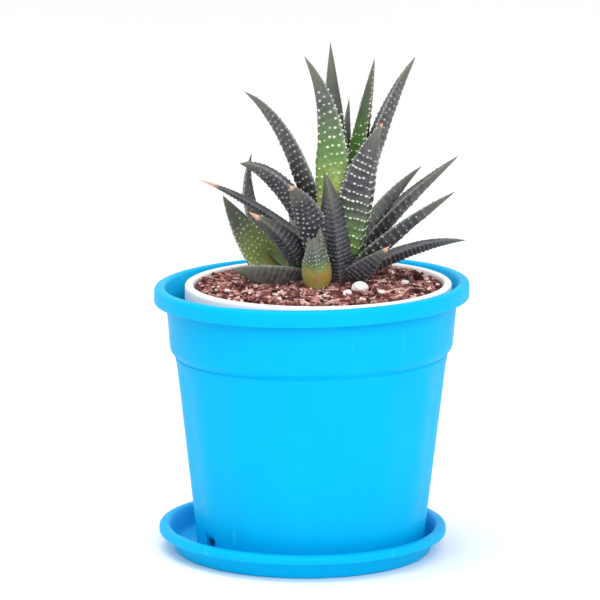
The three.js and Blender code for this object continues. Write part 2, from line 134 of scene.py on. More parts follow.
def bevel_all(bm: bmesh.types.BMesh, offset: float, segments: int) -> None:
    """Bevels every edge of a mesh.

    Args:
        bm: The mesh.
        offset: Width of the bevel.
        segments: Sides in its rounding.
    """
    bmesh.ops.bevel(bm, geom=bm.edges[:], offset=offset, offset_type="OFFSET", affect="EDGES",
                    segments=segments, profile=0.5, material=-1)


@dataclass(frozen=True)
class Corner:
    """A corner of a turned outline.

    Attributes:
        r: Distance from the axis.
        z: Height.
        rounding: How far the corner's rounding reaches along each side.
    """

    r: float
    z: float
    rounding: float = 0.0


def outline(corners: Sequence[Corner], step: float = 0.004, arc: int = 4) -> list[Vector]:
    """Rounds the corners of an outline and divides its long sides.

    Args:
        corners: The outline's corners, in order.
        step: The longest side left undivided.
        arc: Sides in each rounding.

    Returns:
        The outline's points, with the radius in x and the height in y.
    """
    places = [Vector((c.r, c.z)) for c in corners]
    points = [places[0]]
    for before, corner, here, after in zip(places, corners[1:], places[1:], places[2:]):
        reach = min(corner.rounding, 0.45 * (before - here).length, 0.45 * (after - here).length)
        if reach <= 0.0:
            points.append(here)
            continue
        start = here + (before - here).normalized() * reach
        end = here + (after - here).normalized() * reach
        for k in range(arc + 1):
            share = k / arc
            points.append(start.lerp(here, share).lerp(here.lerp(end, share), share))
    points.append(places[-1])
    divided = [points[0]]
    for start, end in zip(points, points[1:]):
        parts = max(1, math.ceil((end - start).length / step))
        divided.extend(start.lerp(end, k / parts) for k in range(1, parts + 1))
    return divided


def turn(points: Sequence[Vector], steps: int) -> bmesh.types.BMesh:
    """Spins an outline that starts and ends on the Z axis into a closed, smooth solid.

    Args:
        points: The outline, with the radius in x and the height in y.
        steps: Sides round the axis.

    Returns:
        The solid, as a new bmesh.
    """
    bm = bmesh.new()
    verts = [bm.verts.new((p.x, 0.0, p.y)) for p in points]
    edges = [bm.edges.new(pair) for pair in zip(verts, verts[1:])]
    bmesh.ops.spin(bm, geom=verts + edges, cent=(0, 0, 0), axis=(0, 0, 1), dvec=(0, 0, 0), angle=math.tau,
                   steps=steps, use_merge=True, use_duplicate=False)
    bmesh.ops.remove_doubles(bm, verts=bm.verts, dist=WELD)
    bmesh.ops.recalc_face_normals(bm, faces=bm.faces)
    for face in bm.faces:
        face.smooth = True
    return bm


# ---------------------------------------------------------------- finishes


class Shader:
    """A node material under construction, round one Principled shader."""

    def __init__(self, name: str) -> None:
        """Starts a material.

        Args:
            name: The material's name.
        """
        self.material = bpy.data.materials.new(name)
        self.material.use_nodes = True
        self.nodes = self.material.node_tree.nodes
        self.links = self.material.node_tree.links
        self.surface = self.nodes["Principled BSDF"]
        self.place = self.nodes.new("ShaderNodeTexCoord").outputs["Object"]

    def feed(self, socket: bpy.types.NodeSocket, value: object) -> None:
        """Links an output to a socket, or sets the socket to a plain value.

        Args:
            socket: The input to feed.
            value: An output socket, a number or a colour.
        """
        if isinstance(value, bpy.types.NodeSocket):
            self.links.new(value, socket)
        elif isinstance(value, tuple) and len(value) == 3 and socket.type == "RGBA":
            socket.default_value = (*value, 1.0)
        else:
            socket.default_value = value

    def set(self, **values: object) -> None:
        """Feeds sockets of the Principled shader, named with underscores for spaces."""
        for name, value in values.items():
            self.feed(self.surface.inputs[name.replace("_", " ")], value)

    def noise(self, scale: float, detail: float = 3.0, roughness: float = 0.55,
              stretch: Triple = (1.0, 1.0, 1.0)) -> bpy.types.NodeSocket:
        """A cloudy pattern on Object coordinates.

        Args:
            scale: Blotches in a metre.
            detail: Octaves.
            roughness: How strong the finer octaves are.
            stretch: Scale along each axis; a low value draws the blotches out along it.

        Returns:
            A value from 0 to 1.
        """
        mapping = self.nodes.new("ShaderNodeMapping")
        self.links.new(self.place, mapping.inputs["Vector"])
        mapping.inputs["Scale"].default_value = stretch
        node = self.nodes.new("ShaderNodeTexNoise")
        self.links.new(mapping.outputs["Vector"], node.inputs["Vector"])
        node.inputs["Scale"].default_value = scale
        node.inputs["Detail"].default_value = detail
        node.inputs["Roughness"].default_value = roughness
        return node.outputs["Fac"]

    def span(self, value: bpy.types.NodeSocket, low: float, high: float, to_low: float = 0.0,
             to_high: float = 1.0) -> bpy.types.NodeSocket:
        """Maps the range low to high of a value onto to_low to to_high, clamped.

        Args:
            value: The value to map.
            low: Start of its range.
            high: End of its range.
            to_low: Result at low.
            to_high: Result at high.

        Returns:
            The mapped value.
        """
        node = self.nodes.new("ShaderNodeMapRange")
        self.links.new(value, node.inputs["Value"])
        for name, number in (("From Min", low), ("From Max", high), ("To Min", to_low), ("To Max", to_high)):
            node.inputs[name].default_value = number
        return node.outputs["Result"]

    def blend(self, first: object, second: object, share: object) -> bpy.types.NodeSocket:
        """Mixes two colours.

        Args:
            first: The colour at share 0.
            second: The colour at share 1.
            share: How much of the second shows.

        Returns:
            The mixed colour.
        """
        node = self.nodes.new("ShaderNodeMix")
        node.data_type = "RGBA"
        self.feed(node.inputs[0], share)
        self.feed(node.inputs[6], first)
        self.feed(node.inputs[7], second)
        return node.outputs[2]

    def combine(self, operation: str, first: bpy.types.NodeSocket,
                second: bpy.types.NodeSocket) -> bpy.types.NodeSocket:
        """Adds or multiplies two values.

        Args:
            operation: ADD or MULTIPLY.
            first: One value.
            second: The other.

        Returns:
            The sum or the product.
        """
        node = self.nodes.new("ShaderNodeMath")
        node.operation = operation
        self.links.new(first, node.inputs[0])
        self.links.new(second, node.inputs[1])
        return node.outputs["Value"]

    def product(self, first: bpy.types.NodeSocket, second: bpy.types.NodeSocket) -> bpy.types.NodeSocket:
        """Multiplies two values."""
        return self.combine("MULTIPLY", first, second)

    def ramp(self, value: bpy.types.NodeSocket,
             stops: Sequence[tuple[float, Colour]]) -> bpy.types.NodeSocket:
        """Turns a value into a colour.

        Args:
            value: The value to read.
            stops: Pairs of a place from 0 to 1 and its colour.

        Returns:
            The colour.
        """
        node = self.nodes.new("ShaderNodeValToRGB")
        elements = node.color_ramp.elements
        while len(elements) < len(stops):
            elements.new(0.5)
        for element, (place, colour) in zip(elements, stops):
            element.position = place
            element.color = (*colour, 1.0)
        self.links.new(value, node.inputs["Fac"])
        return node.outputs["Color"]

    def attribute(self, name: str) -> bpy.types.Node:
        """Reads one of the mesh's own attributes.

        Args:
            name: The attribute's name.

        Returns:
            The node that reads it.
        """
        node = self.nodes.new("ShaderNodeAttribute")
        node.attribute_name = name
        return node

    def channels(self, name: str) -> tuple[bpy.types.Node, ...]:
        """Reads one of the mesh's colour attributes.

        Args:
            name: The attribute's name.

        Returns:
            The node that reads it, then its three channels.
        """
        reader = self.attribute(name)
        parts = self.nodes.new("ShaderNodeSeparateColor")
        self.links.new(reader.outputs["Color"], parts.inputs["Color"])
        return (reader, *parts.outputs)

    def bump(self, height: bpy.types.NodeSocket, depth: float, strength: float = 1.0) -> None:
        """Raises the surface's fine relief.

        Args:
            height: The relief, from 0 to 1.
            depth: Its real depth.
            strength: How much of it shows.
        """
        node = self.nodes.new("ShaderNodeBump")
        node.inputs["Strength"].default_value = strength
        node.inputs["Distance"].default_value = depth
        self.links.new(height, node.inputs["Height"])
        self.links.new(node.outputs["Normal"], self.surface.inputs["Normal"])


@dataclass(frozen=True)
class MouldedPlastic:
    """Moulded plastic, a little uneven in colour and gloss, with rubbed streaks.

    Attributes:
        name: The material's name.
        colour: Its main colour.
        deep: The colour of its denser patches.
        rubbed: The colour of the rubbed streaks.
        rubbing: How much of it is rubbed, from 0 to 1.
        roughness: Its mean roughness.
        gloss: Specular level.
    """

    name: str
    colour: Colour
    deep: Colour
    rubbed: Colour
    rubbing: float
    roughness: float
    gloss: float

    def make(self) -> bpy.types.Material:
        """Builds the material.

        Returns:
            The material, ready for a mesh.
        """
        shader = Shader(self.name)
        patches = shader.span(shader.noise(28.0, 4.0), 0.3, 0.75)
        base = shader.blend(self.colour, self.deep, patches)
        streaks = shader.noise(240.0, 6.0, 0.7, stretch=(1.0, 1.0, 0.18))
        rubs = shader.span(streaks, 0.64, 0.75, 0.0, self.rubbing)
        shader.set(
            Base_Color=shader.blend(base, self.rubbed, rubs),
            Roughness=shader.span(shader.noise(90.0, 5.0), 0.3, 0.7, self.roughness, self.roughness + 0.14),
            Specular_IOR_Level=self.gloss,
        )
        shader.bump(shader.noise(420.0, 3.0), 0.00012, 0.35)
        return shader.material


@dataclass(frozen=True)
class LeafSkin:
    """Waxy skin of a leaf: green and then lime towards the root, paler towards the tip, which may be dry.

    Attributes:
        name: The material's name.
        body: Colour of the leaf's lit patches.
        shade: Colour of its darker patches.
        green: Colour of the green zone.
        lime: Colour of the zone next to the root.
        blush: Colour of the blotches in that zone.
        tip: Colour towards the tip.
        dry: Colour of the dry tip.
        singed: Colour of the dry tip's darker patches.
        margin: Colour along the margins.
    """

    name: str
    body: Colour
    shade: Colour
    green: Colour = (0.13, 0.26, 0.035)
    lime: Colour = (0.60, 0.70, 0.16)
    blush: Colour = (0.30, 0.48, 0.06)
    tip: Colour = (0.150, 0.155, 0.115)
    dry: Colour = (0.80, 0.50, 0.35)
    singed: Colour = (0.62, 0.29, 0.15)
    margin: Colour = (0.30, 0.31, 0.27)

    def make(self) -> bpy.types.Material:
        """Builds the material.

        Returns:
            The material, ready for a mesh.
        """
        shader = Shader(self.name)
        zones, green, lime, dry = shader.channels(ZONES)
        _, along, ridge, keel = shader.channels(RELIEF)
        mottle = shader.span(shader.noise(260.0, 6.0, 0.65), 0.35, 0.68)
        skin = shader.blend(self.shade, self.body, mottle)
        skin = shader.blend(skin, self.tip, shader.span(along, 0.66, 0.98, 0.0, 0.85))
        flecks = shader.span(shader.noise(900.0, 3.0), 0.35, 0.65, 0.55, 1.0)
        skin = shader.blend(skin, self.green, shader.product(green, flecks))
        pale = shader.blend(self.lime, self.blush, shader.span(shader.noise(170.0, 3.0, 0.6), 0.42, 0.62))
        skin = shader.blend(skin, pale, shader.product(lime, flecks))
        ribs = shader.span(ridge, 0.2, 1.0, 0.0, 0.22)
        keels = shader.span(keel, 0.0, 1.0, 0.0, 0.25)
        for paler in (ribs, keels, zones.outputs["Alpha"]):
            skin = shader.blend(skin, self.margin, shader.product(paler, flecks))
        parched = shader.blend(self.singed, self.dry, shader.span(shader.noise(500.0, 4.0), 0.35, 0.55))
        skin = shader.blend(skin, parched, dry)
        shader.set(
            Base_Color=skin,
            Roughness=shader.span(mottle, 0.0, 1.0, 0.46, 0.34),
            Specular_IOR_Level=0.55,
        )
        shader.bump(shader.noise(1100.0, 4.0, 0.6), 0.00018, 0.8)
        return shader.material


@dataclass(frozen=True)
class Pearl:
    """The raised tubercles, which take on a little of the green where the leaf is green.

    Attributes:
        name: The material's name.
        bright: Colour of the brightest.
        dull: Colour of the dullest.
        green: Colour in the green zone.
        dry: Colour on a dry tip.
    """

    name: str
    bright: Colour
    dull: Colour
    green: Colour = (0.62, 0.74, 0.42)
    dry: Colour = (0.70, 0.42, 0.28)

    def make(self) -> bpy.types.Material:
        """Builds the material.

        Returns:
            The material, ready for a mesh.
        """
        shader = Shader(self.name)
        _, green, _, dry = shader.channels(ZONES)
        _, along, _, _ = shader.channels(RELIEF)
        tone = shader.blend(self.dull, self.bright, shader.span(shader.noise(700.0, 2.0), 0.35, 0.6))
        tone = shader.blend(tone, self.dull, shader.span(along, 0.35, 0.85, 0.0, 0.9))
        tone = shader.blend(tone, self.green, green)
        tone = shader.blend(tone, self.dry, dry)
        shader.set(Base_Color=tone, Roughness=0.42, Specular_IOR_Level=0.5)
        return shader.material


@dataclass(frozen=True)
class Fibrous:
    """Bark, coir or stone crumbs, each piece of its own tint and finely streaked.

    Attributes:
        name: The material's name.
        stops: Tints from the darkest to the palest, each with its place from 0 to 1.
        streaks: Streaks in a metre.
        roughness: Its roughness.
    """

    name: str
    stops: tuple[tuple[float, Colour], ...]
    streaks: float = 900.0
    roughness: float = 0.9

    def make(self) -> bpy.types.Material:
        """Builds the material.

        Returns:
            The material, ready for a mesh.
        """
        shader = Shader(self.name)
        grain = shader.noise(self.streaks, 5.0, 0.65)
        own_tint = shader.attribute(TINT).outputs["Fac"]
        tint = shader.combine("ADD", own_tint, shader.span(grain, 0.25, 0.75, -0.16, 0.16))
        shader.set(
            Base_Color=shader.ramp(tint, self.stops),
            Roughness=self.roughness,
            Specular_IOR_Level=0.25,
        )
        shader.bump(grain, 0.0003, 0.6)
        return shader.material


@dataclass(frozen=True)
class Plain:
    """A matt surface with faint clouds, for the stems and the studio floor.

    Attributes:
        name: The material's name.
        first: One of its two colours.
        second: The other.
        scale: Blotches in a metre.
        roughness: Its roughness.
    """

    name: str
    first: Colour
    second: Colour
    scale: float
    roughness: float

    def make(self) -> bpy.types.Material:
        """Builds the material.

        Returns:
            The material, ready for a mesh.
        """
        shader = Shader(self.name)
        clouds = shader.span(shader.noise(self.scale, 4.0), 0.3, 0.7)
        shader.set(Base_Color=shader.blend(self.first, self.second, clouds), Roughness=self.roughness)
        return shader.material


BLUE_PLASTIC = MouldedPlastic("blue_plastic", (0.0, 0.44, 0.80), (0.0, 0.41, 0.77), (0.16, 0.68, 0.93),
                              0.40, 0.34, 0.05)
WHITE_PLASTIC = MouldedPlastic("white_plastic", (0.93, 0.89, 0.90), (0.89, 0.84, 0.85), (0.64, 0.48, 0.44),
                               0.30, 0.42, 0.35)
PEARL_WHITE = Pearl("pearl_white", (0.74, 0.76, 0.70), (0.40, 0.43, 0.38))
PEARL_SOFT = Pearl("pearl_soft", (0.50, 0.51, 0.50), (0.24, 0.245, 0.24))
PEARL_GREY = Pearl("pearl_grey", (0.25, 0.25, 0.26), (0.12, 0.12, 0.13), dry=(0.60, 0.34, 0.22))


class Tone(Enum):
    """The leaf skins: how dark, how purple or how green the body of a leaf is."""

    GREEN = LeafSkin("leaf_green", (0.092, 0.112, 0.088), (0.045, 0.058, 0.047), green=(0.095, 0.24, 0.030),
                     lime=(0.74, 0.84, 0.26), blush=(0.38, 0.56, 0.11))
    GREY = LeafSkin("leaf_grey", (0.074, 0.076, 0.076), (0.026, 0.027, 0.029))
    PURPLE = LeafSkin("leaf_purple", (0.062, 0.058, 0.070), (0.022, 0.021, 0.027), margin=(0.24, 0.24, 0.26))
    PALE = LeafSkin("leaf_pale", (0.140, 0.146, 0.138), (0.064, 0.068, 0.064))
    OLIVE = LeafSkin("leaf_olive", (0.130, 0.150, 0.115), (0.060, 0.075, 0.055), green=(0.33, 0.40, 0.11),
                     lime=(0.64, 0.50, 0.23), blush=(0.50, 0.34, 0.14))
    YOUNG = LeafSkin("leaf_young", (0.105, 0.130, 0.105), (0.045, 0.060, 0.048), green=(0.15, 0.30, 0.040),
                     lime=(0.35, 0.31, 0.08), blush=(0.42, 0.20, 0.035))


# ---------------------------------------------------------------- pots


@dataclass
class Saucer:
    """The blue saucer, with its flared, rolled rim."""

    x: float = -0.0031
    foot_radius: float = 0.051
    rim_radius: float = 0.0574
    inner_radius: float = 0.0528
    floor: float = 0.002
    rim_top: float = 0.0104
    rim_bottom: float = 0.0069
    steps: int = 128

    def build(self, plastic: bpy.types.Material) -> None:
        """Makes the saucer.

        Args:
            plastic: Its material.
        """
        under_rim = self.inner_radius + 0.001
        corners = [
            Corner(0.0, 0.0),
            Corner(self.foot_radius, 0.0, 0.0009),
            Corner(under_rim, self.rim_bottom, 0.0006),
            Corner(self.rim_radius, self.rim_bottom, 0.0007),
            Corner(self.rim_radius, self.rim_top - 0.0002, 0.0015),
            Corner(self.inner_radius + 0.0008, self.rim_top, 0.0011),
            Corner(self.inner_radius - 0.0005, self.rim_top - 0.0022, 0.0009),
            Corner(self.foot_radius - 0.0014, self.floor, 0.0016),
            Corner(0.0, self.floor),
        ]
        bm = turn(outline(corners), self.steps)
        bmesh.ops.translate(bm, verts=bm.verts, vec=(self.x, 0.0, 0.0))
        add_piece("moulded_saucer", bm, [plastic], ["saucer"])


@dataclass
class OuterPot:
    """The blue pot: a tapered, shallowly fluted wall with a step, a band and a rolled collar."""

    foot: float = 0.002
    floor: float = 0.005
    foot_radius: float = 0.0454
    foot_ring: float = 0.0065
    foot_hollow: float = 0.0014
    wall: float = 0.0016
    band_radius: float = 0.0579
    band_taper: float = 0.0014
    step_top: float = 0.0828
    step_bottom: float = 0.0798
    step_depth: float = 0.0023
    groove: float = 0.0003
    collar_bottom: float = 0.1014
    collar_wall: float = 0.0015
    rim_radius: float = 0.0625
    rim_top: float = 0.1078
    rim_rise: float = 0.0016
    flutes: int = 16
    flute_depth: float = 0.0005
    slots: int = 2
    slot_turn: float = -60.0
    slot_width: float = 0.007
    slot_depth: float = 0.014
    slot_height: float = 0.0073
    steps: int = 192

    def body_radius(self, z: float) -> float:
        """Outer radius of the plain wall under the step."""
        top = self.band_radius - self.band_taper - self.step_depth
        return lerp(self.foot_radius, top, (z - self.foot) / (self.step_bottom - self.foot))

    def corners(self) -> list[Corner]:
        """Lays out the pot's outline.

        Returns:
            Its corners, from the middle of the underside to the middle of the floor.
        """
        band_bottom = self.band_radius - self.band_taper
        step_in = self.body_radius(self.step_bottom)
        skirt = self.rim_radius - self.collar_wall
        floor_radius = self.body_radius(self.floor) - self.wall
        return [
            Corner(0.0, self.foot + self.foot_hollow),
            Corner(self.foot_radius - self.foot_ring + 0.0001, self.foot + self.foot_hollow, 0.0006),
            Corner(self.foot_radius - self.foot_ring - 0.0001, self.foot, 0.0006),
            Corner(self.foot_radius, self.foot, 0.0008),
            Corner(step_in, self.step_bottom - 2.0 * self.groove, 0.0001),
            Corner(step_in - self.groove, self.step_bottom - self.groove, 0.0001),
            Corner(step_in - self.groove, self.step_bottom, 0.0001),
            Corner(band_bottom - 0.0004, self.step_top - 0.0010, 0.0014),
            Corner(self.band_radius, self.collar_bottom + 0.0020, 0.0008),
            Corner(skirt, self.collar_bottom + 0.0032, 0.0010),
            Corner(skirt, self.collar_bottom, 0.0003),
            Corner(self.rim_radius, self.collar_bottom, 0.0007),
            Corner(self.rim_radius, self.rim_top, 0.0024),
            Corner(self.band_radius + 0.0005, self.rim_top, 0.0011),
            Corner(self.band_radius - self.wall, self.collar_bottom - 0.001, 0.0020),
            Corner(band_bottom - self.wall, self.step_top, 0.0010),
            Corner(step_in - self.wall, self.step_bottom, 0.0010),
            Corner(floor_radius, self.floor, 0.0012),
            Corner(0.0, self.floor),
        ]

    def shape(self, bm: bmesh.types.BMesh) -> None:
        """Presses in the flutes and lifts the soft collar on its right side.

        Args:
            bm: The turned pot.
        """
        flute_low = self.foot + 0.009
        flute_high = self.step_bottom - 0.006
        for vert in bm.verts:
            radius = math.hypot(vert.co.x, vert.co.y)
            if radius < WELD:
                continue
            wave = 0.5 + 0.5 * math.cos(self.flutes * math.atan2(vert.co.x, -vert.co.y))
            along = smooth_step(self.foot + 0.001, flute_low, vert.co.z)
            along *= 1.0 - smooth_step(flute_high, self.step_bottom - 0.001, vert.co.z)
            vert.co.xy *= 1.0 - self.flute_depth * wave * along / radius
            high = max(0.0, vert.co.z - self.floor) / (self.rim_top - self.floor)
            vert.co.z += self.rim_rise * high * vert.co.x / self.rim_radius

    def cutters(self) -> bpy.types.Object:
        """Makes the drain slots' shape.

        Returns:
            An object to cut with.
        """
        bm = bmesh.new()
        for k in range(self.slots):
            at = Matrix.Rotation(math.radians(self.slot_turn) + math.tau * k / self.slots, 4, "Z")
            at @= Matrix.Translation((0.0, -self.foot_radius - 0.001, self.foot))
            at @= Matrix.Diagonal((self.slot_width, self.slot_depth, 2.0 * self.slot_height, 1.0))
            bmesh.ops.create_cube(bm, size=1.0, matrix=at)
        bevel_all(bm, 0.0007, 3)
        mesh = bpy.data.meshes.new("drain_slots")
        bm.to_mesh(mesh)
        bm.free()
        cutter = bpy.data.objects.new("drain_slots", mesh)
        bpy.context.scene.collection.objects.link(cutter)
        return cutter

    def build(self, plastic: bpy.types.Material) -> None:
        """Makes the pot and cuts its drain slots.

        Args:
            plastic: Its material.
        """
        bm = turn(outline(self.corners(), step=0.003), self.steps)
        self.shape(bm)
        pot = add_piece("moulded_outer_pot", bm, [plastic], ["outer_pot"])
        cutter = self.cutters()
        cut = pot.modifiers.new("drain_slots", "BOOLEAN")
        cut.operation = "DIFFERENCE"
        cut.object = cutter
        apply_modifiers(pot)
        bpy.data.objects.remove(cutter)


def apply_modifiers(piece: bpy.types.Object) -> None:
    """Bakes a piece's modifiers into its mesh.

    Args:
        piece: The piece, which keeps its name and its materials.
    """
    graph = bpy.context.evaluated_depsgraph_get()
    mesh = bpy.data.meshes.new_from_object(piece.evaluated_get(graph))
    old = piece.data
    piece.modifiers.clear()
    piece.data = mesh
    bpy.data.meshes.remove(old)
    mesh.name = piece.name


@dataclass
class InnerPot:
    """The thin white pot that holds the soil. It stands off centre and a little out of level."""

    x: float = 0.0026
    bottom: float = 0.005
    lip_top: float = 0.1079
    lip_radius: float = 0.0529
    lip_drop: float = 0.007
    mouth_radius: float = 0.0493
    foot_radius: float = 0.0365
    base: float = 0.002
    wall: float = 0.0011
    rise_x: float = 0.0006
    rise_y: float = 0.0002
    steps: int = 128

    def radius(self, z: float) -> float:
        """Inner radius of the wall."""
        share = (z - self.bottom) / (self.lip_top - self.bottom)
        return lerp(self.foot_radius - self.wall, self.mouth_radius, share)

    def tilt(self, point: Vector) -> Vector:
        """Moves a point of the level pot, or of what fills it, to where it is in the part.

        Args:
            point: The point, from the pot's own axis.

        Returns:
            The same point in the row's frame.
        """
        share = max(0.0, point.z - self.bottom) / (self.lip_top - self.bottom)
        lift = share * (self.rise_x * point.x + self.rise_y * point.y) / self.lip_radius
        return Vector((point.x + self.x, point.y, point.z + lift))

    def build(self, plastic: bpy.types.Material) -> None:
        """Makes the pot.

        Args:
            plastic: Its material.
        """
        lip_inner = self.lip_radius - self.wall
        lip_bottom = self.lip_top - self.lip_drop
        under_lip = self.lip_top - 0.0022
        corners = [
            Corner(0.0, self.bottom),
            Corner(self.foot_radius, self.bottom, 0.0008),
            Corner(self.radius(under_lip) + self.wall, under_lip, 0.0004),
            Corner(lip_inner, under_lip, 0.0004),
            Corner(lip_inner, lip_bottom, 0.0003),
            Corner(self.lip_radius, lip_bottom, 0.0003),
            Corner(self.lip_radius, self.lip_top, 0.0013),
            Corner(self.mouth_radius + 0.0003, self.lip_top, 0.0011),
            Corner(self.radius(self.bottom + self.base), self.bottom + self.base, 0.0008),
            Corner(0.0, self.bottom + self.base),
        ]
        bm = turn(outline(corners), self.steps)
        for vert in bm.verts:
            vert.co = self.tilt(vert.co)
        add_piece("moulded_inner_pot", bm, [plastic], ["inner_pot"])


# ---------------------------------------------------------------- soil


@dataclass(frozen=True)
class Flake:
    """A flake, chip or curl that lies in a place of its own on the soil.

    Attributes:
        x: Its place to the right.
        y: Its place to the back.
        size: Length, width and thickness.
        turn: Its heading, in degrees.
        tilt: How far it leans, in degrees.
        tint: Its tint, from 0, dark, to 1, white.
    """

    x: float
    y: float
    size: Triple
    turn: float
    tilt: float
    tint: float


@dataclass(frozen=True)
class Litter:
    """One kind of loose bits on the soil.

    Attributes:
        name: The piece's name.
        count: How many there are.
        low: Smallest length, width and thickness.
        high: Largest length, width and thickness.
        lean: Largest lean, in radians.
        lift: Share of the thickness that stands over the surface.
        tints: Least, greatest and commonest tint.
        bend: How far a vertex may move.
        bends: Bends in a metre.
        cuts: Cuts across each long edge, or 0 where the edges are bevelled.
        long: Length over which an edge is cut.
    """

    name: str
    count: int
    low: Triple
    high: Triple
    lean: float
    lift: float
    tints: Triple
    bend: float
    bends: float
    cuts: int = 0
    long: float = 0.0


@dataclass
class Soil:
    """The bark and coir mix: a low dome under loose chips, crumbs, fibres and a few pale flakes."""

    pot: InnerPot
    stones: tuple["Stone", ...]
    edge: float = 0.1063
    dome: float = 0.0018
    lumps: float = 0.0009
    crumb_bevel: float = 0.00016
    flake_lift: float = 0.0012
    seed: int = 7
    steps: int = 96
    litter: tuple[Litter, ...] = (
        Litter("bark_chips", 1300, (0.0020, 0.0008, 0.0004), (0.0066, 0.0021, 0.0010), 0.42, 0.6,
               (0.0, 0.96, 0.26), 0.0007, 900.0, 1),
        Litter("bark_crumbs", 1100, (0.0007, 0.0005, 0.0004), (0.0020, 0.0013, 0.0010), 0.9, 0.7,
               (0.0, 1.05, 0.34), 0.0004, 1500.0),
        Litter("coir_fibres", 130, (0.006, 0.00022, 0.00022), (0.016, 0.00042, 0.00036), 0.10, 3.0,
               (0.3, 1.0, 0.75), 0.0021, 110.0, 9, 0.005),
    )
    flakes: tuple[Flake, ...] = (
        Flake(-0.0115, -0.0270, (0.0042, 0.0020, 0.0006), 20, 10, 0.86),
        Flake(0.0330, 0.0150, (0.0040, 0.0010, 0.0005), -35, 15, 0.97),
        Flake(0.0440, 0.0180, (0.0046, 0.0030, 0.0003), 10, 35, 0.92),
        Flake(0.0425, 0.0030, (0.0034, 0.0026, 0.0022), 60, 20, 0.02),
        Flake(-0.0330, -0.0180, (0.0030, 0.0016, 0.0006), -10, 10, 0.90),
        Flake(-0.0220, -0.0290, (0.0026, 0.0015, 0.0005), 40, 5, 0.84),
        Flake(0.0270, -0.0250, (0.0032, 0.0014, 0.0006), -25, 12, 0.88),
        Flake(0.0050, -0.0330, (0.0028, 0.0018, 0.0005), 15, 8, 0.80),
        Flake(0.0300, 0.0320, (0.0030, 0.0016, 0.0006), 75, 12, 0.86),
        Flake(-0.0250, 0.0260, (0.0034, 0.0016, 0.0006), 30, 10, 0.88),
    )

    def level(self, x: float, y: float) -> float:
        """Height of the smooth surface at a point of the part."""
        share = math.hypot(x - self.pot.x, y) / self.reach
        return self.pot.tilt(Vector((x - self.pot.x, y, self.edge + self.dome * (1.0 - share * share)))).z

    @property
    def reach(self) -> float:
        """Radius of the soil's surface."""
        return self.pot.radius(self.edge) - GAP

    def scatter(self, draw: random.Random, size: float) -> Vector:
        """A random place on the surface.

        Args:
            draw: The source of random numbers.
            size: How far the place keeps from the pot's wall and the stones.

        Returns:
            The place in the row's frame.
        """
        while True:
            radius = (self.reach - size) * math.sqrt(draw.random())
            angle = draw.uniform(0.0, math.tau)
            x = self.pot.x + radius * math.cos(angle)
            y = radius * math.sin(angle)
            if not any(stone.covers(x, y, size) for stone in self.stones):
                return Vector((x, y, self.level(x, y)))

    def build_bed(self, bark: bpy.types.Material) -> None:
        """Makes the packed soil that fills the pot.

        Args:
            bark: Its material.
        """
        floor = self.pot.bottom + self.pot.base + GAP
        shares = [k / 12 for k in range(12, -1, -1)]
        top = [Corner(self.reach * share, self.edge + self.dome * (1.0 - share ** 2)) for share in shares]
        corners = [Corner(0.0, floor), Corner(self.pot.radius(floor) - GAP, floor), *top]
        bm = turn(outline(corners, step=0.0012), self.steps)
        tint = bm.verts.layers.float.new(TINT)
        for vert in bm.verts:
            if vert.co.z > self.edge - 0.0001:
                vert.co.z += self.lumps * noise.noise(vert.co * 420.0)
            vert[tint] = 0.18 + 0.16 * noise.noise(vert.co * 300.0)
            vert.co = self.pot.tilt(vert.co)
        add_piece("bark_bed", bm, [bark], ["soil"])

    def strew(self, bm: bmesh.types.BMesh, kind: Litter, draw: random.Random) -> None:
        """Drops blocks of random size and heading on the surface.

        Args:
            bm: The mesh to add them to.
            kind: What they are.
            draw: The source of random numbers.
        """
        small = bmesh.new()
        tint = small.verts.layers.float.new(TINT)
        for _ in range(kind.count):
            size = [draw.uniform(a, b) for a, b in zip(kind.low, kind.high)]
            lift = Vector((0.0, 0.0, kind.lift * size[2]))
            at = Matrix.Translation(self.scatter(draw, 0.55 * size[0]) + lift)
            at @= Matrix.Rotation(draw.uniform(0.0, math.tau), 4, "Z")
            at @= Matrix.Rotation(draw.uniform(-kind.lean, kind.lean), 4, "Y")
            at @= Matrix.Rotation(draw.uniform(-kind.lean, kind.lean), 4, "X")
            at @= Matrix.Diagonal((*size, 1.0))
            shade = draw.triangular(*kind.tints)
            for vert in bmesh.ops.create_cube(small, size=1.0, matrix=at)["verts"]:
                vert[tint] = shade
        pour(small, bm)

    def roughen(self, bm: bmesh.types.BMesh, amount: float, scale: float) -> None:
        """Breaks up the plain shape of every block.

        Args:
            bm: The blocks.
            amount: How far a vertex may move.
            scale: Bends in a metre.
        """
        for vert in bm.verts:
            vert.co += amount * noise.noise_vector(vert.co * scale)

    def build_litter(self, bark: bpy.types.Material) -> None:
        """Makes the loose chips, crumbs and fibres.

        Args:
            bark: Their material.
        """
        draw = random.Random(self.seed)
        noise.seed_set(self.seed)        # noise_vector would start from the clock otherwise
        for kind in self.litter:
            bm = bmesh.new()
            self.strew(bm, kind, draw)
            if kind.cuts:
                long_edges = [edge for edge in bm.edges if edge.calc_length() > kind.long]
                bmesh.ops.subdivide_edges(bm, edges=long_edges, cuts=kind.cuts, use_grid_fill=True)
            else:
                bevel_all(bm, self.crumb_bevel, 1)
            self.roughen(bm, kind.bend, kind.bends)
            add_piece(kind.name, bm, [bark])

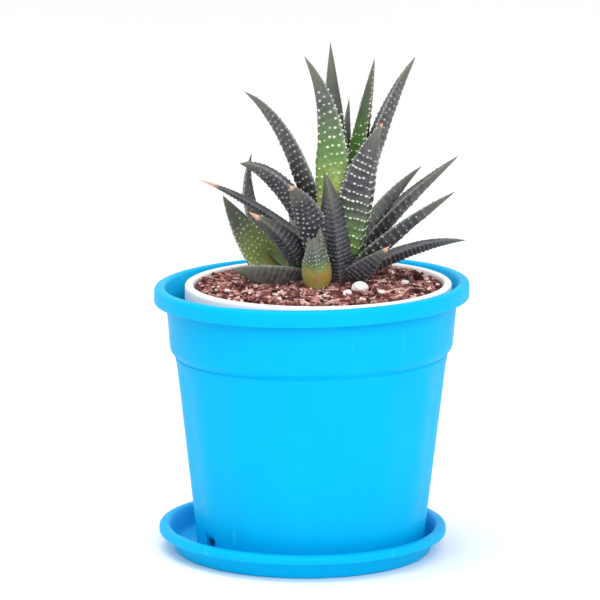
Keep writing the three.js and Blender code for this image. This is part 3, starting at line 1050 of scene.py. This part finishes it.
    def build_flakes(self, bark: bpy.types.Material) -> None:
        """Makes the pale flakes that lie in places of their own.

        Args:
            bark: Their material.
        """
        bm = bmesh.new()
        tint = bm.verts.layers.float.new(TINT)
        for flake in self.flakes:
            height = self.level(flake.x, flake.y) + self.flake_lift + 0.3 * flake.size[2]
            at = Matrix.Translation((flake.x, flake.y, height))
            at @= Matrix.Rotation(math.radians(flake.turn), 4, "Z")
            at @= Matrix.Rotation(math.radians(flake.tilt), 4, "Y")
            at @= Matrix.Diagonal((*flake.size, 1.0))
            for vert in bmesh.ops.create_cube(bm, size=1.0, matrix=at)["verts"]:
                vert[tint] = flake.tint
        bmesh.ops.subdivide_edges(bm, edges=bm.edges[:], cuts=3, use_grid_fill=True)
        self.roughen(bm, 0.0006, 700.0)
        add_piece("pale_flakes", bm, [bark])


@dataclass(frozen=True)
class Stone:
    """A white pebble on the soil.

    Attributes:
        node: The CAD node that it stands for.
        x: Its place to the right.
        y: Its place to the back.
        sit: Height of its middle over the soil.
        size: Half its length, width and height.
        turn: Its heading, in degrees.
    """

    node: str
    x: float
    y: float
    sit: float
    size: Triple
    turn: float

    def covers(self, x: float, y: float, size: float) -> bool:
        """Whether a bit of this size at a place would lie on the stone or hide its front."""
        reach = max(self.size[:2]) + 0.7 * size
        return math.hypot(x - self.x, 0.8 * (y - self.y + 0.001)) < reach

    def build(self, soil: Soil, material: bpy.types.Material) -> None:
        """Makes the pebble where it lies on the soil.

        Args:
            soil: The soil under it.
            material: Its material.
        """
        bm = bmesh.new()
        bmesh.ops.create_icosphere(bm, subdivisions=4, radius=1.0)
        tint = bm.verts.layers.float.new(TINT)
        for vert in bm.verts:
            spot = vert.co.copy()
            dent = 1.0 + 0.05 * math.sin(4.0 * spot.x + 2.0 * self.turn)
            dent += 0.05 * math.sin(5.0 * spot.y - 3.0 * spot.z)
            dent += 0.05 * noise.noise(spot * 2.2) + 0.02 * noise.noise(spot * 7.0)
            vert.co = dent * spot * Vector(self.size)
            vert[tint] = 0.9 + 0.25 * noise.noise(spot * 1.6)
        heading = Matrix.Rotation(math.radians(self.turn), 3, "Z")
        bmesh.ops.rotate(bm, verts=bm.verts, cent=(0, 0, 0), matrix=heading)
        bmesh.ops.translate(bm, verts=bm.verts, vec=(self.x, self.y, soil.level(self.x, self.y) + self.sit))
        for face in bm.faces:
            face.smooth = True
        add_piece(f"pebble_{self.node}", bm, [material], [self.node])


# ---------------------------------------------------------------- plant


@dataclass(frozen=True)
class Pattern:
    """How the raised dots lie on a leaf.

    Attributes:
        row: Distance between rows.
        spacing: Distance between dots in a row.
        radius: Radius of a large dot.
        stretch: How much wider across the leaf than along it a dot is.
        weave: How far a row weaves up and down, as a share of the distance between rows.
        ridge: Height of the low ridge that carries a row.
        reach: Share of the leaf, from the root, that bears dots.
        inner: Share of the leaf, from the root, whose inner face bears dots.
        start: Share of the leaf, from the root, that is still smooth.
        pearl: The dots' finish.
    """

    row: float
    spacing: float
    radius: float
    stretch: float
    weave: float
    ridge: float
    reach: float
    inner: float
    start: float = 0.0
    pearl: Pearl = PEARL_SOFT


class Dots(Enum):
    """The patterns of dots that the leaves bear."""

    BOLD = Pattern(0.0034, 0.0021, 0.00062, 1.1, 0.34, 0.00012, 0.82, 0.66, pearl=PEARL_WHITE)
    ROUND = Pattern(0.0025, 0.0020, 0.00050, 1.1, 0.24, 0.00022, 0.88, 0.40)
    BARS = Pattern(0.0031, 0.0016, 0.00048, 1.5, 0.12, 0.00034, 0.80, 0.20, pearl=PEARL_WHITE)
    BOTH = Pattern(0.0023, 0.0020, 0.00046, 1.1, 0.30, 0.00014, 0.80, 0.80, 0.28, PEARL_WHITE)
    YOUNG = Pattern(0.0017, 0.0013, 0.00030, 1.1, 0.25, 0.00012, 0.92, 0.80, 0.45, PEARL_WHITE)
    SPARSE = Pattern(0.0030, 0.0024, 0.00042, 1.3, 0.22, 0.00024, 0.84, 0.15)
    FINE = Pattern(0.0018, 0.0013, 0.00032, 1.5, 0.14, 0.00024, 0.86, 0.40, pearl=PEARL_GREY)


@dataclass(frozen=True)
class Leaf:
    """One leaf of a rosette.

    Attributes:
        name: Its name within the rosette.
        around: The way it sets off, in degrees: 0 to the front, 90 to the right.
        start: Height of its root over the stem's foot.
        rise: How steeply it starts, in degrees.
        tip: Where it ends.
        width: Its full width.
        reach: How far along its chord it keeps its first direction.
        fullness: How full it stays towards its tip: 0 is straight-sided, 1 is blunt.
        proud: How far it stands out from the line through its root, as a share of its depth.
        facing: The way its back faces, in degrees, where that differs from around.
        tone: Its skin.
        dots: Its pattern of dots.
        green: Share of its length, from the root, that is green.
        lime: Share of its length, from the root, that is lime.
        dry: Share of its length, at the tip, that is dry.
    """

    name: str
    around: float
    start: float
    rise: float
    tip: Triple
    width: float
    reach: float = 0.5
    fullness: float = 0.6
    proud: float = 0.0
    facing: float | None = None
    tone: Tone = Tone.GREY
    dots: Dots = Dots.ROUND
    green: float = 0.12
    lime: float = 0.0
    dry: float = 0.0


@dataclass
class LeafForm:
    """The surface of one leaf, along its bent spine.

    Attributes:
        leaf: The leaf's own values.
        root: Where its spine starts.
        seed: Seed of its random draws.
        thickness: Its depth for its width.
        widest: Where along it the full width is, from 0 to 1.
        hollow: How far the inner face sinks, as a share of the depth.
        waist: How much narrower its root is, as a share of the full width.
        unevenness: How far its surface wanders in and out.
        sharpness: How sharply a row's ridge stands out from the skin between rows.
    """

    leaf: Leaf
    root: Vector
    seed: int
    thickness: float = 0.5
    widest: float = 0.3
    hollow: float = 0.12
    waist: float = 0.32
    unevenness: float = 0.00028
    sharpness: float = 2.5

    def __post_init__(self) -> None:
        """Works out the spine's three control points and the number of rows."""
        around = math.radians(self.leaf.around)
        facing = math.radians(self.leaf.around if self.leaf.facing is None else self.leaf.facing)
        rise = math.radians(self.leaf.rise)
        flat = math.cos(rise)
        self.tip = Vector(self.leaf.tip)
        self.chord = (self.tip - self.root).length
        first = Vector((math.sin(around) * flat, -math.cos(around) * flat, math.sin(rise)))
        self.bend = self.root + first * self.leaf.reach * self.chord
        self.level = Vector((-math.cos(facing), -math.sin(facing), 0.0))
        self.depth = self.thickness * self.leaf.width
        self.pattern = self.leaf.dots.value
        self.rows = max(4, round(self.chord / self.pattern.row))

    def spine(self, t: float) -> tuple[Vector, Vector]:
        """A point of the spine and the spine's direction there.

        Args:
            t: Share of the way from the root to the tip.

        Returns:
            The point and the unit direction.
        """
        first = self.root.lerp(self.bend, t)
        last = self.bend.lerp(self.tip, t)
        return first.lerp(last, t), (last - first).normalized()

    def share(self, t: float) -> float:
        """Narrows the leaf to its root and its tip.

        Args:
            t: Share of the way from the root to the tip.

        Returns:
            The width there as a share of the full width.
        """
        if t < self.widest:
            return 1.0 - self.waist * ((self.widest - t) / self.widest) ** 2
        left = (1.0 - t) / (1.0 - self.widest)
        return left * (1.0 + self.leaf.fullness * (1.0 - left))

    def weave(self, angle: float) -> float:
        """How far the rows lie from level at a turn round the section, in rows."""
        waves = math.sin(3.0 * angle + self.seed) + 0.5 * math.sin(7.0 * angle + 2.0 * self.seed)
        return self.pattern.weave * waves

    def bearing(self, t: float, angle: float) -> float:
        """Fades the rows in over the smooth root and out towards the tip.

        Args:
            t: Share of the way from the root to the tip.
            angle: Turn round the section.

        Returns:
            How strongly the surface bears rows, from 0 to 1.
        """
        reach = self.pattern.inner if math.sin(angle) > 0.0 else self.pattern.reach
        start = self.pattern.start
        return smooth_step(start, start + 0.06, t) * (1.0 - smooth_step(reach - 0.12, reach, t))

    def ridge(self, t: float, angle: float) -> float:
        """Height of the ridges that carry the rows, from 0 to 1."""
        phase = t * self.rows + self.weave(angle)
        return (0.5 + 0.5 * math.cos(math.tau * phase)) ** self.sharpness * self.bearing(t, angle)

    def point(self, t: float, angle: float) -> Vector:
        """A point of the surface.

        Args:
            t: Share of the way from the root to the tip.
            angle: Turn round the section: 0 to pi is the inner face, pi to 2 pi the keeled back.

        Returns:
            The point in the row's frame.
        """
        centre, along = self.spine(t)
        side = (self.level - along * self.level.dot(along)).normalized()
        face = side.cross(along)
        share = self.share(t)
        depth = self.depth * share ** 0.8
        u = math.cos(angle)
        back = math.sin(angle) < 0.0
        if back:
            height = -depth * (1.0 - abs(u) ** 1.5) ** 0.78
        else:
            height = -self.hollow * depth * (1.0 - u * u)
        height += (0.5 - self.leaf.proud) * depth
        spot = centre + side * (0.5 * self.leaf.width * share * u) + face * height
        lift = self.pattern.ridge * self.ridge(t, angle) * share ** 0.5 - 0.5 * self.pattern.ridge
        lift += self.unevenness * noise.noise(spot * 130.0) * share
        return spot + (side * u + face * math.sin(angle)) * lift

    def normal(self, t: float, angle: float) -> Vector:
        """Finds which way the surface faces.

        Args:
            t: Share of the way from the root to the tip.
            angle: Turn round the section.

        Returns:
            The outward unit direction.
        """
        low, high = max(0.0, t - 0.01), min(0.995, t + 0.01)
        along = self.point(high, angle) - self.point(low, angle)
        round_it = self.point(t, angle + 0.06) - self.point(t, angle - 0.06)
        return round_it.cross(along).normalized()

    def zones(self, t: float, angle: float) -> Zones:
        """How green, lime, dry and marginal the surface is.

        Args:
            t: Share of the way from the root to the tip.
            angle: Turn round the section.

        Returns:
            The four shares, from 0 to 1.
        """
        leaf = self.leaf
        green = 1.0 - smooth_step(leaf.green - 0.20, leaf.green + 0.20, t) if leaf.green > 0.0 else 0.0
        lime = 1.0 - smooth_step(leaf.lime - 0.12, leaf.lime + 0.14, t) if leaf.lime > 0.0 else 0.0
        dry = smooth_step(1.0 - leaf.dry, 1.0 - 0.6 * leaf.dry, t) if leaf.dry > 0.0 else 0.0
        margin = smooth_step(0.955, 1.0, abs(math.cos(angle)))
        return green, lime, dry, margin

    def relief(self, t: float, angle: float) -> Zones:
        """How near the tip, how high on a ridge and how near the keel the surface is."""
        keel = 1.0 - smooth_step(0.0, 0.16, abs(math.cos(angle))) if math.sin(angle) < 0.0 else 0.0
        return t, self.ridge(t, angle), keel, 1.0


@dataclass
class Tubercles:
    """The rows of raised dots on a leaf.

    Attributes:
        height: A dot's height for its radius.
        tooth: Size of a margin's tooth for a large dot.
        missing: Share of the dots that are left out.
        stray: How far a dot may lie from its row, in rows.
        gap: Greatest distance between a margin's teeth.
        parts: Straight parts that half a section is measured in.
        batch: How many are made at a time.
    """

    height: float = 0.62
    tooth: float = 0.85
    missing: float = 0.06
    stray: float = 0.07
    gap: float = 0.0022
    parts: int = 20
    batch: int = 40

    def angles(self, form: LeafForm, t: float, start: float, shift: float) -> list[float]:
        """Spreads dots evenly over half of a section.

        Args:
            form: The leaf.
            t: Where the row lies along it.
            start: Where the half starts: 0 for the inner face, pi for the back.
            shift: Shift of the row, as a share of the spacing.

        Returns:
            The dots' turns round the section.
        """
        turns = [start + math.pi * k / self.parts for k in range(self.parts + 1)]
        places = [form.point(t, angle) for angle in turns]
        steps = [(b - a).length for a, b in zip(places, places[1:])]
        count = int(sum(steps) / form.pattern.spacing)
        if count == 0:
            return []
        spread = sum(steps) / count
        found = []
        walked = 0.0
        wanted = spread * shift
        for angle, step in zip(turns, steps):
            while wanted <= walked + step:
                found.append(angle + math.pi / self.parts * (wanted - walked) / step)
                wanted += spread
            walked += step
        return found

    def spots(self, form: LeafForm, draw: random.Random) -> Iterator[tuple[float, float, float]]:
        """Every dot of a leaf.

        Args:
            form: The leaf.
            draw: The source of random numbers.

        Yields:
            The dot's share along the leaf, its turn round the section and its radius.
        """
        for row in range(1, form.rows):
            level = row / form.rows
            shift = 0.25 + 0.5 * (row % 2)
            for start in (math.pi, 0.0):
                for angle in self.angles(form, level, start, shift):
                    t = (row - form.weave(angle) + draw.uniform(-self.stray, self.stray)) / form.rows
                    if not 0.01 < t < 0.975:
                        continue
                    if draw.random() < self.missing or draw.random() > form.bearing(t, angle) * 1.4:
                        continue
                    size = form.pattern.radius * lerp(0.5, 1.0, form.share(t) ** 0.5)
                    size *= draw.uniform(0.55, 1.15)
                    yield t, angle + draw.uniform(-0.04, 0.04), size
        gap = min(self.gap, form.pattern.row)
        for tooth in range(1, round(form.chord / gap)):
            for angle in (0.0, math.pi):
                t = (tooth + draw.uniform(-0.25, 0.25)) * gap / form.chord
                if form.pattern.start < t < 0.93:
                    size = self.tooth * form.pattern.radius * lerp(0.45, 1.0, form.share(t) ** 0.5)
                    yield t, angle, size * draw.uniform(0.7, 1.2)

    def add(self, bm: bmesh.types.BMesh, form: LeafForm, draw: random.Random) -> None:
        """Adds a leaf's dots to its mesh, with the second material.

        Args:
            bm: The leaf's mesh.
            form: The leaf.
            draw: The source of random numbers.
        """
        spots = list(self.spots(form, draw))
        for first in range(0, len(spots), self.batch):
            small = bmesh.new()
            zones = small.verts.layers.float_color.new(ZONES)
            relief = small.verts.layers.float_color.new(RELIEF)
            for t, angle, radius in spots[first:first + self.batch]:
                across = (form.point(t, angle + 0.05) - form.point(t, angle - 0.05)).normalized()
                out = form.normal(t, angle)
                along = out.cross(across).normalized()
                turned = Matrix((across, along, out)).transposed().to_4x4()
                at = Matrix.Translation(form.point(t, angle)) @ turned
                wide = radius * draw.uniform(0.85, 1.1) * form.pattern.stretch
                at @= Matrix.Diagonal((wide, radius, radius * self.height, 1.0))
                shares = form.zones(t, angle)
                made = bmesh.ops.create_uvsphere(small, u_segments=8, v_segments=4, radius=1.0, matrix=at)
                for vert in made["verts"]:
                    vert[zones] = shares
                    vert[relief] = (t, 1.0, 0.0, 1.0)
            for face in small.faces:
                face.material_index = 1
            pour(small, bm)


@dataclass
class Rosette:
    """A stem with its leaves.

    Attributes:
        name: Its name, which its nodes' names start with.
        x: The stem's place to the right.
        y: The stem's place to the back.
        height: The stem's height over the soil.
        stem_radius: The stem's radius at the soil.
        leaves: Its leaves, from the crown outwards.
        stem_depth: How far the stem goes into the soil.
        root_share: Where the leaves start, as a share of the stem's radius.
        leaf_sides: Sides round a leaf.
        row_parts: Parts of a leaf's mesh between two rows of dots.
    """

    name: str
    x: float
    y: float
    height: float
    stem_radius: float
    leaves: list[Leaf]
    stem_depth: float = 0.012
    root_share: float = 0.7
    leaf_sides: int = 32
    row_parts: float = 5.5

    def radius_at(self, height: float) -> float:
        """The stem's radius at a height over its foot."""
        return self.stem_radius * (1.0 - 0.5 * height / self.height)

    def form(self, leaf: Leaf, foot: float, seed: int) -> LeafForm:
        """Works out the surface of one of its leaves.

        Args:
            leaf: The leaf.
            foot: Height of the soil at the stem.
            seed: Seed of the leaf's random draws.

        Returns:
            The leaf's surface.
        """
        angle = math.radians(leaf.around)
        out = self.root_share * self.radius_at(leaf.start)
        root = Vector((self.x + out * math.sin(angle), self.y - out * math.cos(angle), foot + leaf.start))
        return LeafForm(leaf, root, seed)

    def build_stem(self, foot: float, material: bpy.types.Material) -> None:
        """Makes the stem.

        Args:
            foot: Height of the soil at the stem.
            material: Its material.
        """
        low = foot - self.stem_depth
        high = foot + self.height
        corners = [
            Corner(0.0, low),
            Corner(0.8 * self.stem_radius, low, 0.001),
            Corner(self.stem_radius, foot, 0.002),
            Corner(self.radius_at(self.height - 0.002), high - 0.002, 0.001),
            Corner(0.25 * self.stem_radius, high, 0.001),
            Corner(0.0, high),
        ]
        bm = turn(outline(corners), 32)
        bmesh.ops.translate(bm, verts=bm.verts, vec=(self.x, self.y, 0.0))
        add_piece(f"grown_{self.name}_stem", bm, [material], [f"{self.name}_stem"])

    def build_leaf(self, form: LeafForm, dots: Tubercles, materials: Sequence[bpy.types.Material]) -> None:
        """Makes one leaf with its tubercles.

        Args:
            form: The leaf's surface.
            dots: The tubercles.
            materials: The skin and the tubercles' material.
        """
        rows = max(12, round(form.rows * self.row_parts))
        bm = bmesh.new()
        bmesh.ops.create_cone(bm, cap_ends=True, cap_tris=True, segments=self.leaf_sides, radius1=1.0,
                              radius2=1.0, depth=1.0, matrix=Matrix.Translation((0.0, 0.0, 0.5)))
        sides = [edge for edge in bm.edges if abs(edge.verts[0].co.z - edge.verts[1].co.z) > 0.5]
        bmesh.ops.subdivide_edges(bm, edges=sides, cuts=rows - 1, use_grid_fill=True)
        zones = bm.verts.layers.float_color.new(ZONES)
        relief = bm.verts.layers.float_color.new(RELIEF)
        for vert in bm.verts:
            t = min(1.0, max(0.0, vert.co.z))
            angle = math.atan2(vert.co.y, vert.co.x) % math.tau
            on_axis = math.hypot(vert.co.x, vert.co.y) < 0.5
            vert[zones] = form.zones(t, angle)
            vert[relief] = form.relief(t, angle)
            vert.co = form.spine(t)[0] if on_axis or t == 1.0 else form.point(t, angle)
        bmesh.ops.remove_doubles(bm, verts=bm.verts, dist=WELD)
        bmesh.ops.recalc_face_normals(bm, faces=bm.faces)
        dots.add(bm, form, random.Random(form.seed))
        for face in bm.faces:
            face.smooth = True
        node = f"{self.name}_leaf_{form.leaf.name}"
        add_piece(f"grown_{node}", bm, materials, [node])


def rosettes() -> list[Rosette]:
    """Lists the plant's rosettes and their leaves.

    Returns:
        The main rosette, the offset at its left and the young one in front.
    """
    green, purple, young, pale = Tone.GREEN, Tone.PURPLE, Tone.YOUNG, Tone.PALE
    bold, bars, sparse, fine, both = Dots.BOLD, Dots.BARS, Dots.SPARSE, Dots.FINE, Dots.BOTH
    main = Rosette("main", 0.010, 0.001, 0.029, 0.008, [
        Leaf("crown_left", -60, 0.023, 100, (-0.0036, -0.008, 0.199), 0.018, 0.66, 0.1, 0.45,
             tone=green, dots=bold, green=0.50, lime=0.23),
        Leaf("crown_back", 188, 0.027, 79, (0.0069, 0.009, 0.2029), 0.011, 0.45, 0.6, 0.5,
             tone=green, dots=bold, green=0.35),
        Leaf("crown_right", 128, 0.025, 77, (0.0244, 0.008, 0.1964), 0.0105, 0.5, 0.6, 0.5,
             tone=green, dots=bold, green=0.62),
        Leaf("crown_sliver", 160, 0.018, 80, (0.0149, 0.020, 0.1797), 0.0075, dots=sparse, green=0.3),
        Leaf("long_right", 92, 0.019, 77, (0.0405, 0.006, 0.1972), 0.014, 0.65, 0.6, 0.15, green=0.15),
        Leaf("upper_right", 72, 0.006, 72, (0.0437, 0.008, 0.1535), 0.012, 0.5, 0.8, 0.15,
             tone=pale, dots=sparse, green=0.22),
        Leaf("broad_front", 36, 0.013, 82, (0.0272, -0.012, 0.1737), 0.017, 0.7, 0.6, 0.75,
             tone=purple, dots=bars, green=0.2, dry=0.05),
        Leaf("long_left", -98, 0.009, 79, (-0.027, 0.006, 0.183), 0.014, 0.75, 0.6, 0.1,
             facing=-82, green=0.1),
        Leaf("purple_front", -55, 0.006, 74, (-0.009, -0.020, 0.1497), 0.0175, 0.75, 0.9, 0.4,
             tone=purple, dry=0.07),
        Leaf("arched_left", -90, 0.008, 67, (-0.0288, -0.005, 0.156), 0.017, 0.75, tone=purple),
        Leaf("mid_right", 93, 0.007, 57, (0.058, 0.002, 0.1586), 0.0135, 0.4, 0.6, 0.15, dots=sparse),
        Leaf("centre_front", 6, 0.0005, 68, (0.0043, -0.018, 0.1555), 0.0155, 0.4, 0.6, 0.1,
             tone=purple, dots=fine, green=0.0),
        Leaf("low_right", 70, 0.003, 47, (0.056, -0.012, 0.1463), 0.012, 0.5, 0.6, 0.1, dots=sparse),
        Leaf("ground_right", 102, 0.0015, 30, (0.0614, 0.005, 0.124), 0.010, 0.63, 0.6, 0.25,
             tone=purple, dots=fine),
        Leaf("short_right", 44, 0.0025, 29, (0.030, -0.015, 0.125), 0.0135, 0.5, 0.6, 0.3,
             tone=purple, dots=fine, green=0.0, dry=0.12),
        Leaf("orange_tip", -112, 0.0085, 38, (-0.045, 0.008, 0.1476), 0.0065, 0.6, 0.9, 0.2,
             tone=purple, dots=fine, dry=0.18),
        Leaf("back_upper", 200, 0.015, 68, (0.007, 0.030, 0.165), 0.012, green=0.3),
        Leaf("back_high", 150, 0.012, 58, (0.021, 0.034, 0.149), 0.012, green=0.25),
        Leaf("back_left", 222, 0.004, 42, (-0.009, 0.038, 0.128), 0.012),
        Leaf("back_middle", 186, 0.003, 34, (0.008, 0.049, 0.127), 0.0125, tone=purple),
        Leaf("back_right", 140, 0.002, 28, (0.038, 0.040, 0.121), 0.012, tone=purple),
    ])
    left = Rosette("left", -0.0065, 0.008, 0.012, 0.005, [
        Leaf("upright", -132, 0.005, 32, (-0.0238, 0.017, 0.157), 0.009, 0.7, 0.6, 0.65,
             tone=pale, dots=both, green=0.15),
        Leaf("green_broad", -98, 0.0, 45, (-0.0353, -0.002, 0.143), 0.016, 0.42, 0.6, 0.75, facing=-140,
             tone=Tone.OLIVE, dots=both, green=0.58, lime=0.20),
        Leaf("pink_tip", 10, 0.006, 39, (-0.0256, -0.009, 0.1377), 0.010, 0.5, 0.9, 0.5,
             tone=purple, dots=fine, dry=0.13),
        Leaf("on_soil", -24, -0.0005, 10, (-0.0317, -0.010, 0.1148), 0.019, 0.45, 0.9, facing=-20,
             tone=pale, dots=fine, green=0.0),
        Leaf("back_low", 182, 0.0015, 32, (-0.014, 0.040, 0.119), 0.011),
        Leaf("back_side", -160, 0.001, 26, (-0.024, 0.036, 0.117), 0.0105),
    ])
    small = Rosette("small", 0.0016, -0.014, 0.007, 0.0026, [
        Leaf("crown", 20, 0.004, 84, (0.003, -0.019, 0.1336), 0.008, 0.5, 0.6, 0.5,
             tone=young, dots=Dots.YOUNG, green=0.5, lime=0.3),
        Leaf("side", -80, 0.003, 84, (-0.0015, -0.017, 0.1293), 0.0085, 0.5, 0.6, 0.15,
             tone=young, dots=Dots.YOUNG, green=0.5, lime=0.3),
        Leaf("front", 6, 0.0005, 90, (0.0002, -0.022, 0.1298), 0.012, 0.5, 0.9, 0.5,
             tone=young, dots=Dots.YOUNG, green=0.5, lime=0.42),
    ])
    return [main, left, small]


# ---------------------------------------------------------------- studio


@dataclass
class Studio:
    """The floor, the soft light and the camera at the photograph's viewing angle.

    Attributes:
        eye: The camera's place.
        pitch: How far it looks down, in radians.
        yaw: Its turn to the left, in radians.
        roll: Its roll, in radians.
        focal: Its focal length in widths of the picture.
        floor_size: The floor's side.
        sensor: The camera's sensor width, in millimetres.
    """

    eye: Triple = (-0.02436, -1.5, 0.38284)
    pitch: float = 0.18595
    yaw: float = -0.01315
    roll: float = 0.00524
    focal: float = 6.415
    floor_size: float = 8.0
    sensor: float = 36.0

    def build_camera(self) -> None:
        """Makes the camera and gives it to the scene."""
        data = bpy.data.cameras.new("photo_view")
        data.sensor_width = self.sensor
        data.lens = self.focal * self.sensor
        data.clip_end = 50.0
        camera = bpy.data.objects.new("photo_view", data)
        turn_z = Matrix.Rotation(self.yaw, 4, "Z")
        turn_x = Matrix.Rotation(0.5 * math.pi - self.pitch, 4, "X")
        roll = Matrix.Rotation(self.roll, 4, "Z")
        camera.matrix_world = Matrix.Translation(self.eye) @ turn_z @ turn_x @ roll
        bpy.context.scene.collection.objects.link(camera)
        bpy.context.scene.camera = camera

    def build_floor(self) -> None:
        """Makes the pale floor."""
        bm = bmesh.new()
        bmesh.ops.create_grid(bm, x_segments=8, y_segments=8, size=0.5 * self.floor_size)
        mesh = bpy.data.meshes.new("studio_floor")
        bm.to_mesh(mesh)
        bm.free()
        mesh.materials.append(Plain("studio_paper", (0.93, 0.93, 0.93), (0.95, 0.95, 0.95), 3.0, 0.9).make())
        floor = bpy.data.objects.new("studio_floor", mesh)
        bpy.context.scene.collection.objects.link(floor)
        floor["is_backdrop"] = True

    def softbox(self, name: str, place: Triple, size: float, power: float) -> None:
        """Makes a square soft light that faces the plant.

        Args:
            name: The light's name.
            place: Where it stands.
            size: Its side.
            power: Its power in watts.
        """
        data = bpy.data.lights.new(name, "AREA")
        data.size = size
        data.energy = power
        light = bpy.data.objects.new(name, data)
        aim = Vector((0.0, 0.0, 0.1)) - Vector(place)
        light.matrix_world = Matrix.Translation(place) @ aim.to_track_quat("-Z", "Y").to_matrix().to_4x4()
        bpy.context.scene.collection.objects.link(light)

    def build(self) -> None:
        """Sets up the floor, the lights, the pale surroundings and the camera."""
        world = bpy.data.worlds.new("studio_air")
        world.use_nodes = True
        world.node_tree.nodes["Background"].inputs["Color"].default_value = (1.0, 1.0, 1.0, 1.0)
        world.node_tree.nodes["Background"].inputs["Strength"].default_value = 1.0
        bpy.context.scene.world = world
        bpy.context.scene.view_settings.view_transform = "Standard"
        self.build_floor()
        self.softbox("key_light", (0.45, -1.3, 0.95), 0.9, 9.0)
        self.softbox("top_light", (-0.25, -0.1, 1.3), 0.8, 6.5)
        self.build_camera()


def main() -> None:
    """Builds the studio, the pots, the soil and the plant."""
    logging.basicConfig(level=logging.INFO, format="%(name)s: %(message)s")
    Studio().build()
    blue = BLUE_PLASTIC.make()
    Saucer().build(blue)
    OuterPot().build(blue)
    inner_pot = InnerPot()
    inner_pot.build(WHITE_PLASTIC.make())

    stones = (
        Stone("stone_large", 0.0187, -0.017, 0.0009, (0.0036, 0.0028, 0.0026), 20),
        Stone("stone_small", 0.0134, -0.0265, 0.0006, (0.0018, 0.0016, 0.0017), 50),
        Stone("stone_right", 0.0368, -0.002, 0.0004, (0.0019, 0.0015, 0.0013), -30),
    )
    soil = Soil(inner_pot, stones)
    bark = Fibrous("bark", (
        (0.0, (0.022, 0.007, 0.010)), (0.22, (0.085, 0.026, 0.028)), (0.42, (0.240, 0.085, 0.080)),
        (0.60, (0.46, 0.22, 0.19)), (0.78, (0.78, 0.52, 0.46)), (1.0, (0.94, 0.87, 0.82)),
    )).make()
    soil.build_bed(bark)
    soil.build_litter(bark)
    soil.build_flakes(bark)
    chalk = Fibrous("pebble", (
        (0.35, (0.72, 0.55, 0.48)), (0.6, (0.90, 0.82, 0.79)), (1.0, (0.95, 0.92, 0.91)),
    ), 500.0, 0.8).make()
    for stone in stones:
        stone.build(soil, chalk)

    stem = Plain("stem_skin", (0.32, 0.38, 0.10), (0.22, 0.20, 0.08), 400.0, 0.6).make()
    pearls = {pearl: pearl.make() for pearl in (PEARL_WHITE, PEARL_SOFT, PEARL_GREY)}
    skins = {tone: tone.value.make() for tone in Tone}
    dots = Tubercles()
    seed = 100
    for rosette in rosettes():
        foot = soil.level(rosette.x, rosette.y)
        rosette.build_stem(foot, stem)
        for leaf in rosette.leaves:
            seed += 1
            form = rosette.form(leaf, foot, seed)
            rosette.build_leaf(form, dots, [skins[leaf.tone], pearls[form.pattern.pearl]])

    boxes = {"cad": CAD_BOX, "visual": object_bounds()}
    {name: [list(low), list(high)] for name, (low, high) in boxes.items()}


if __name__ == "__main__":
    main()
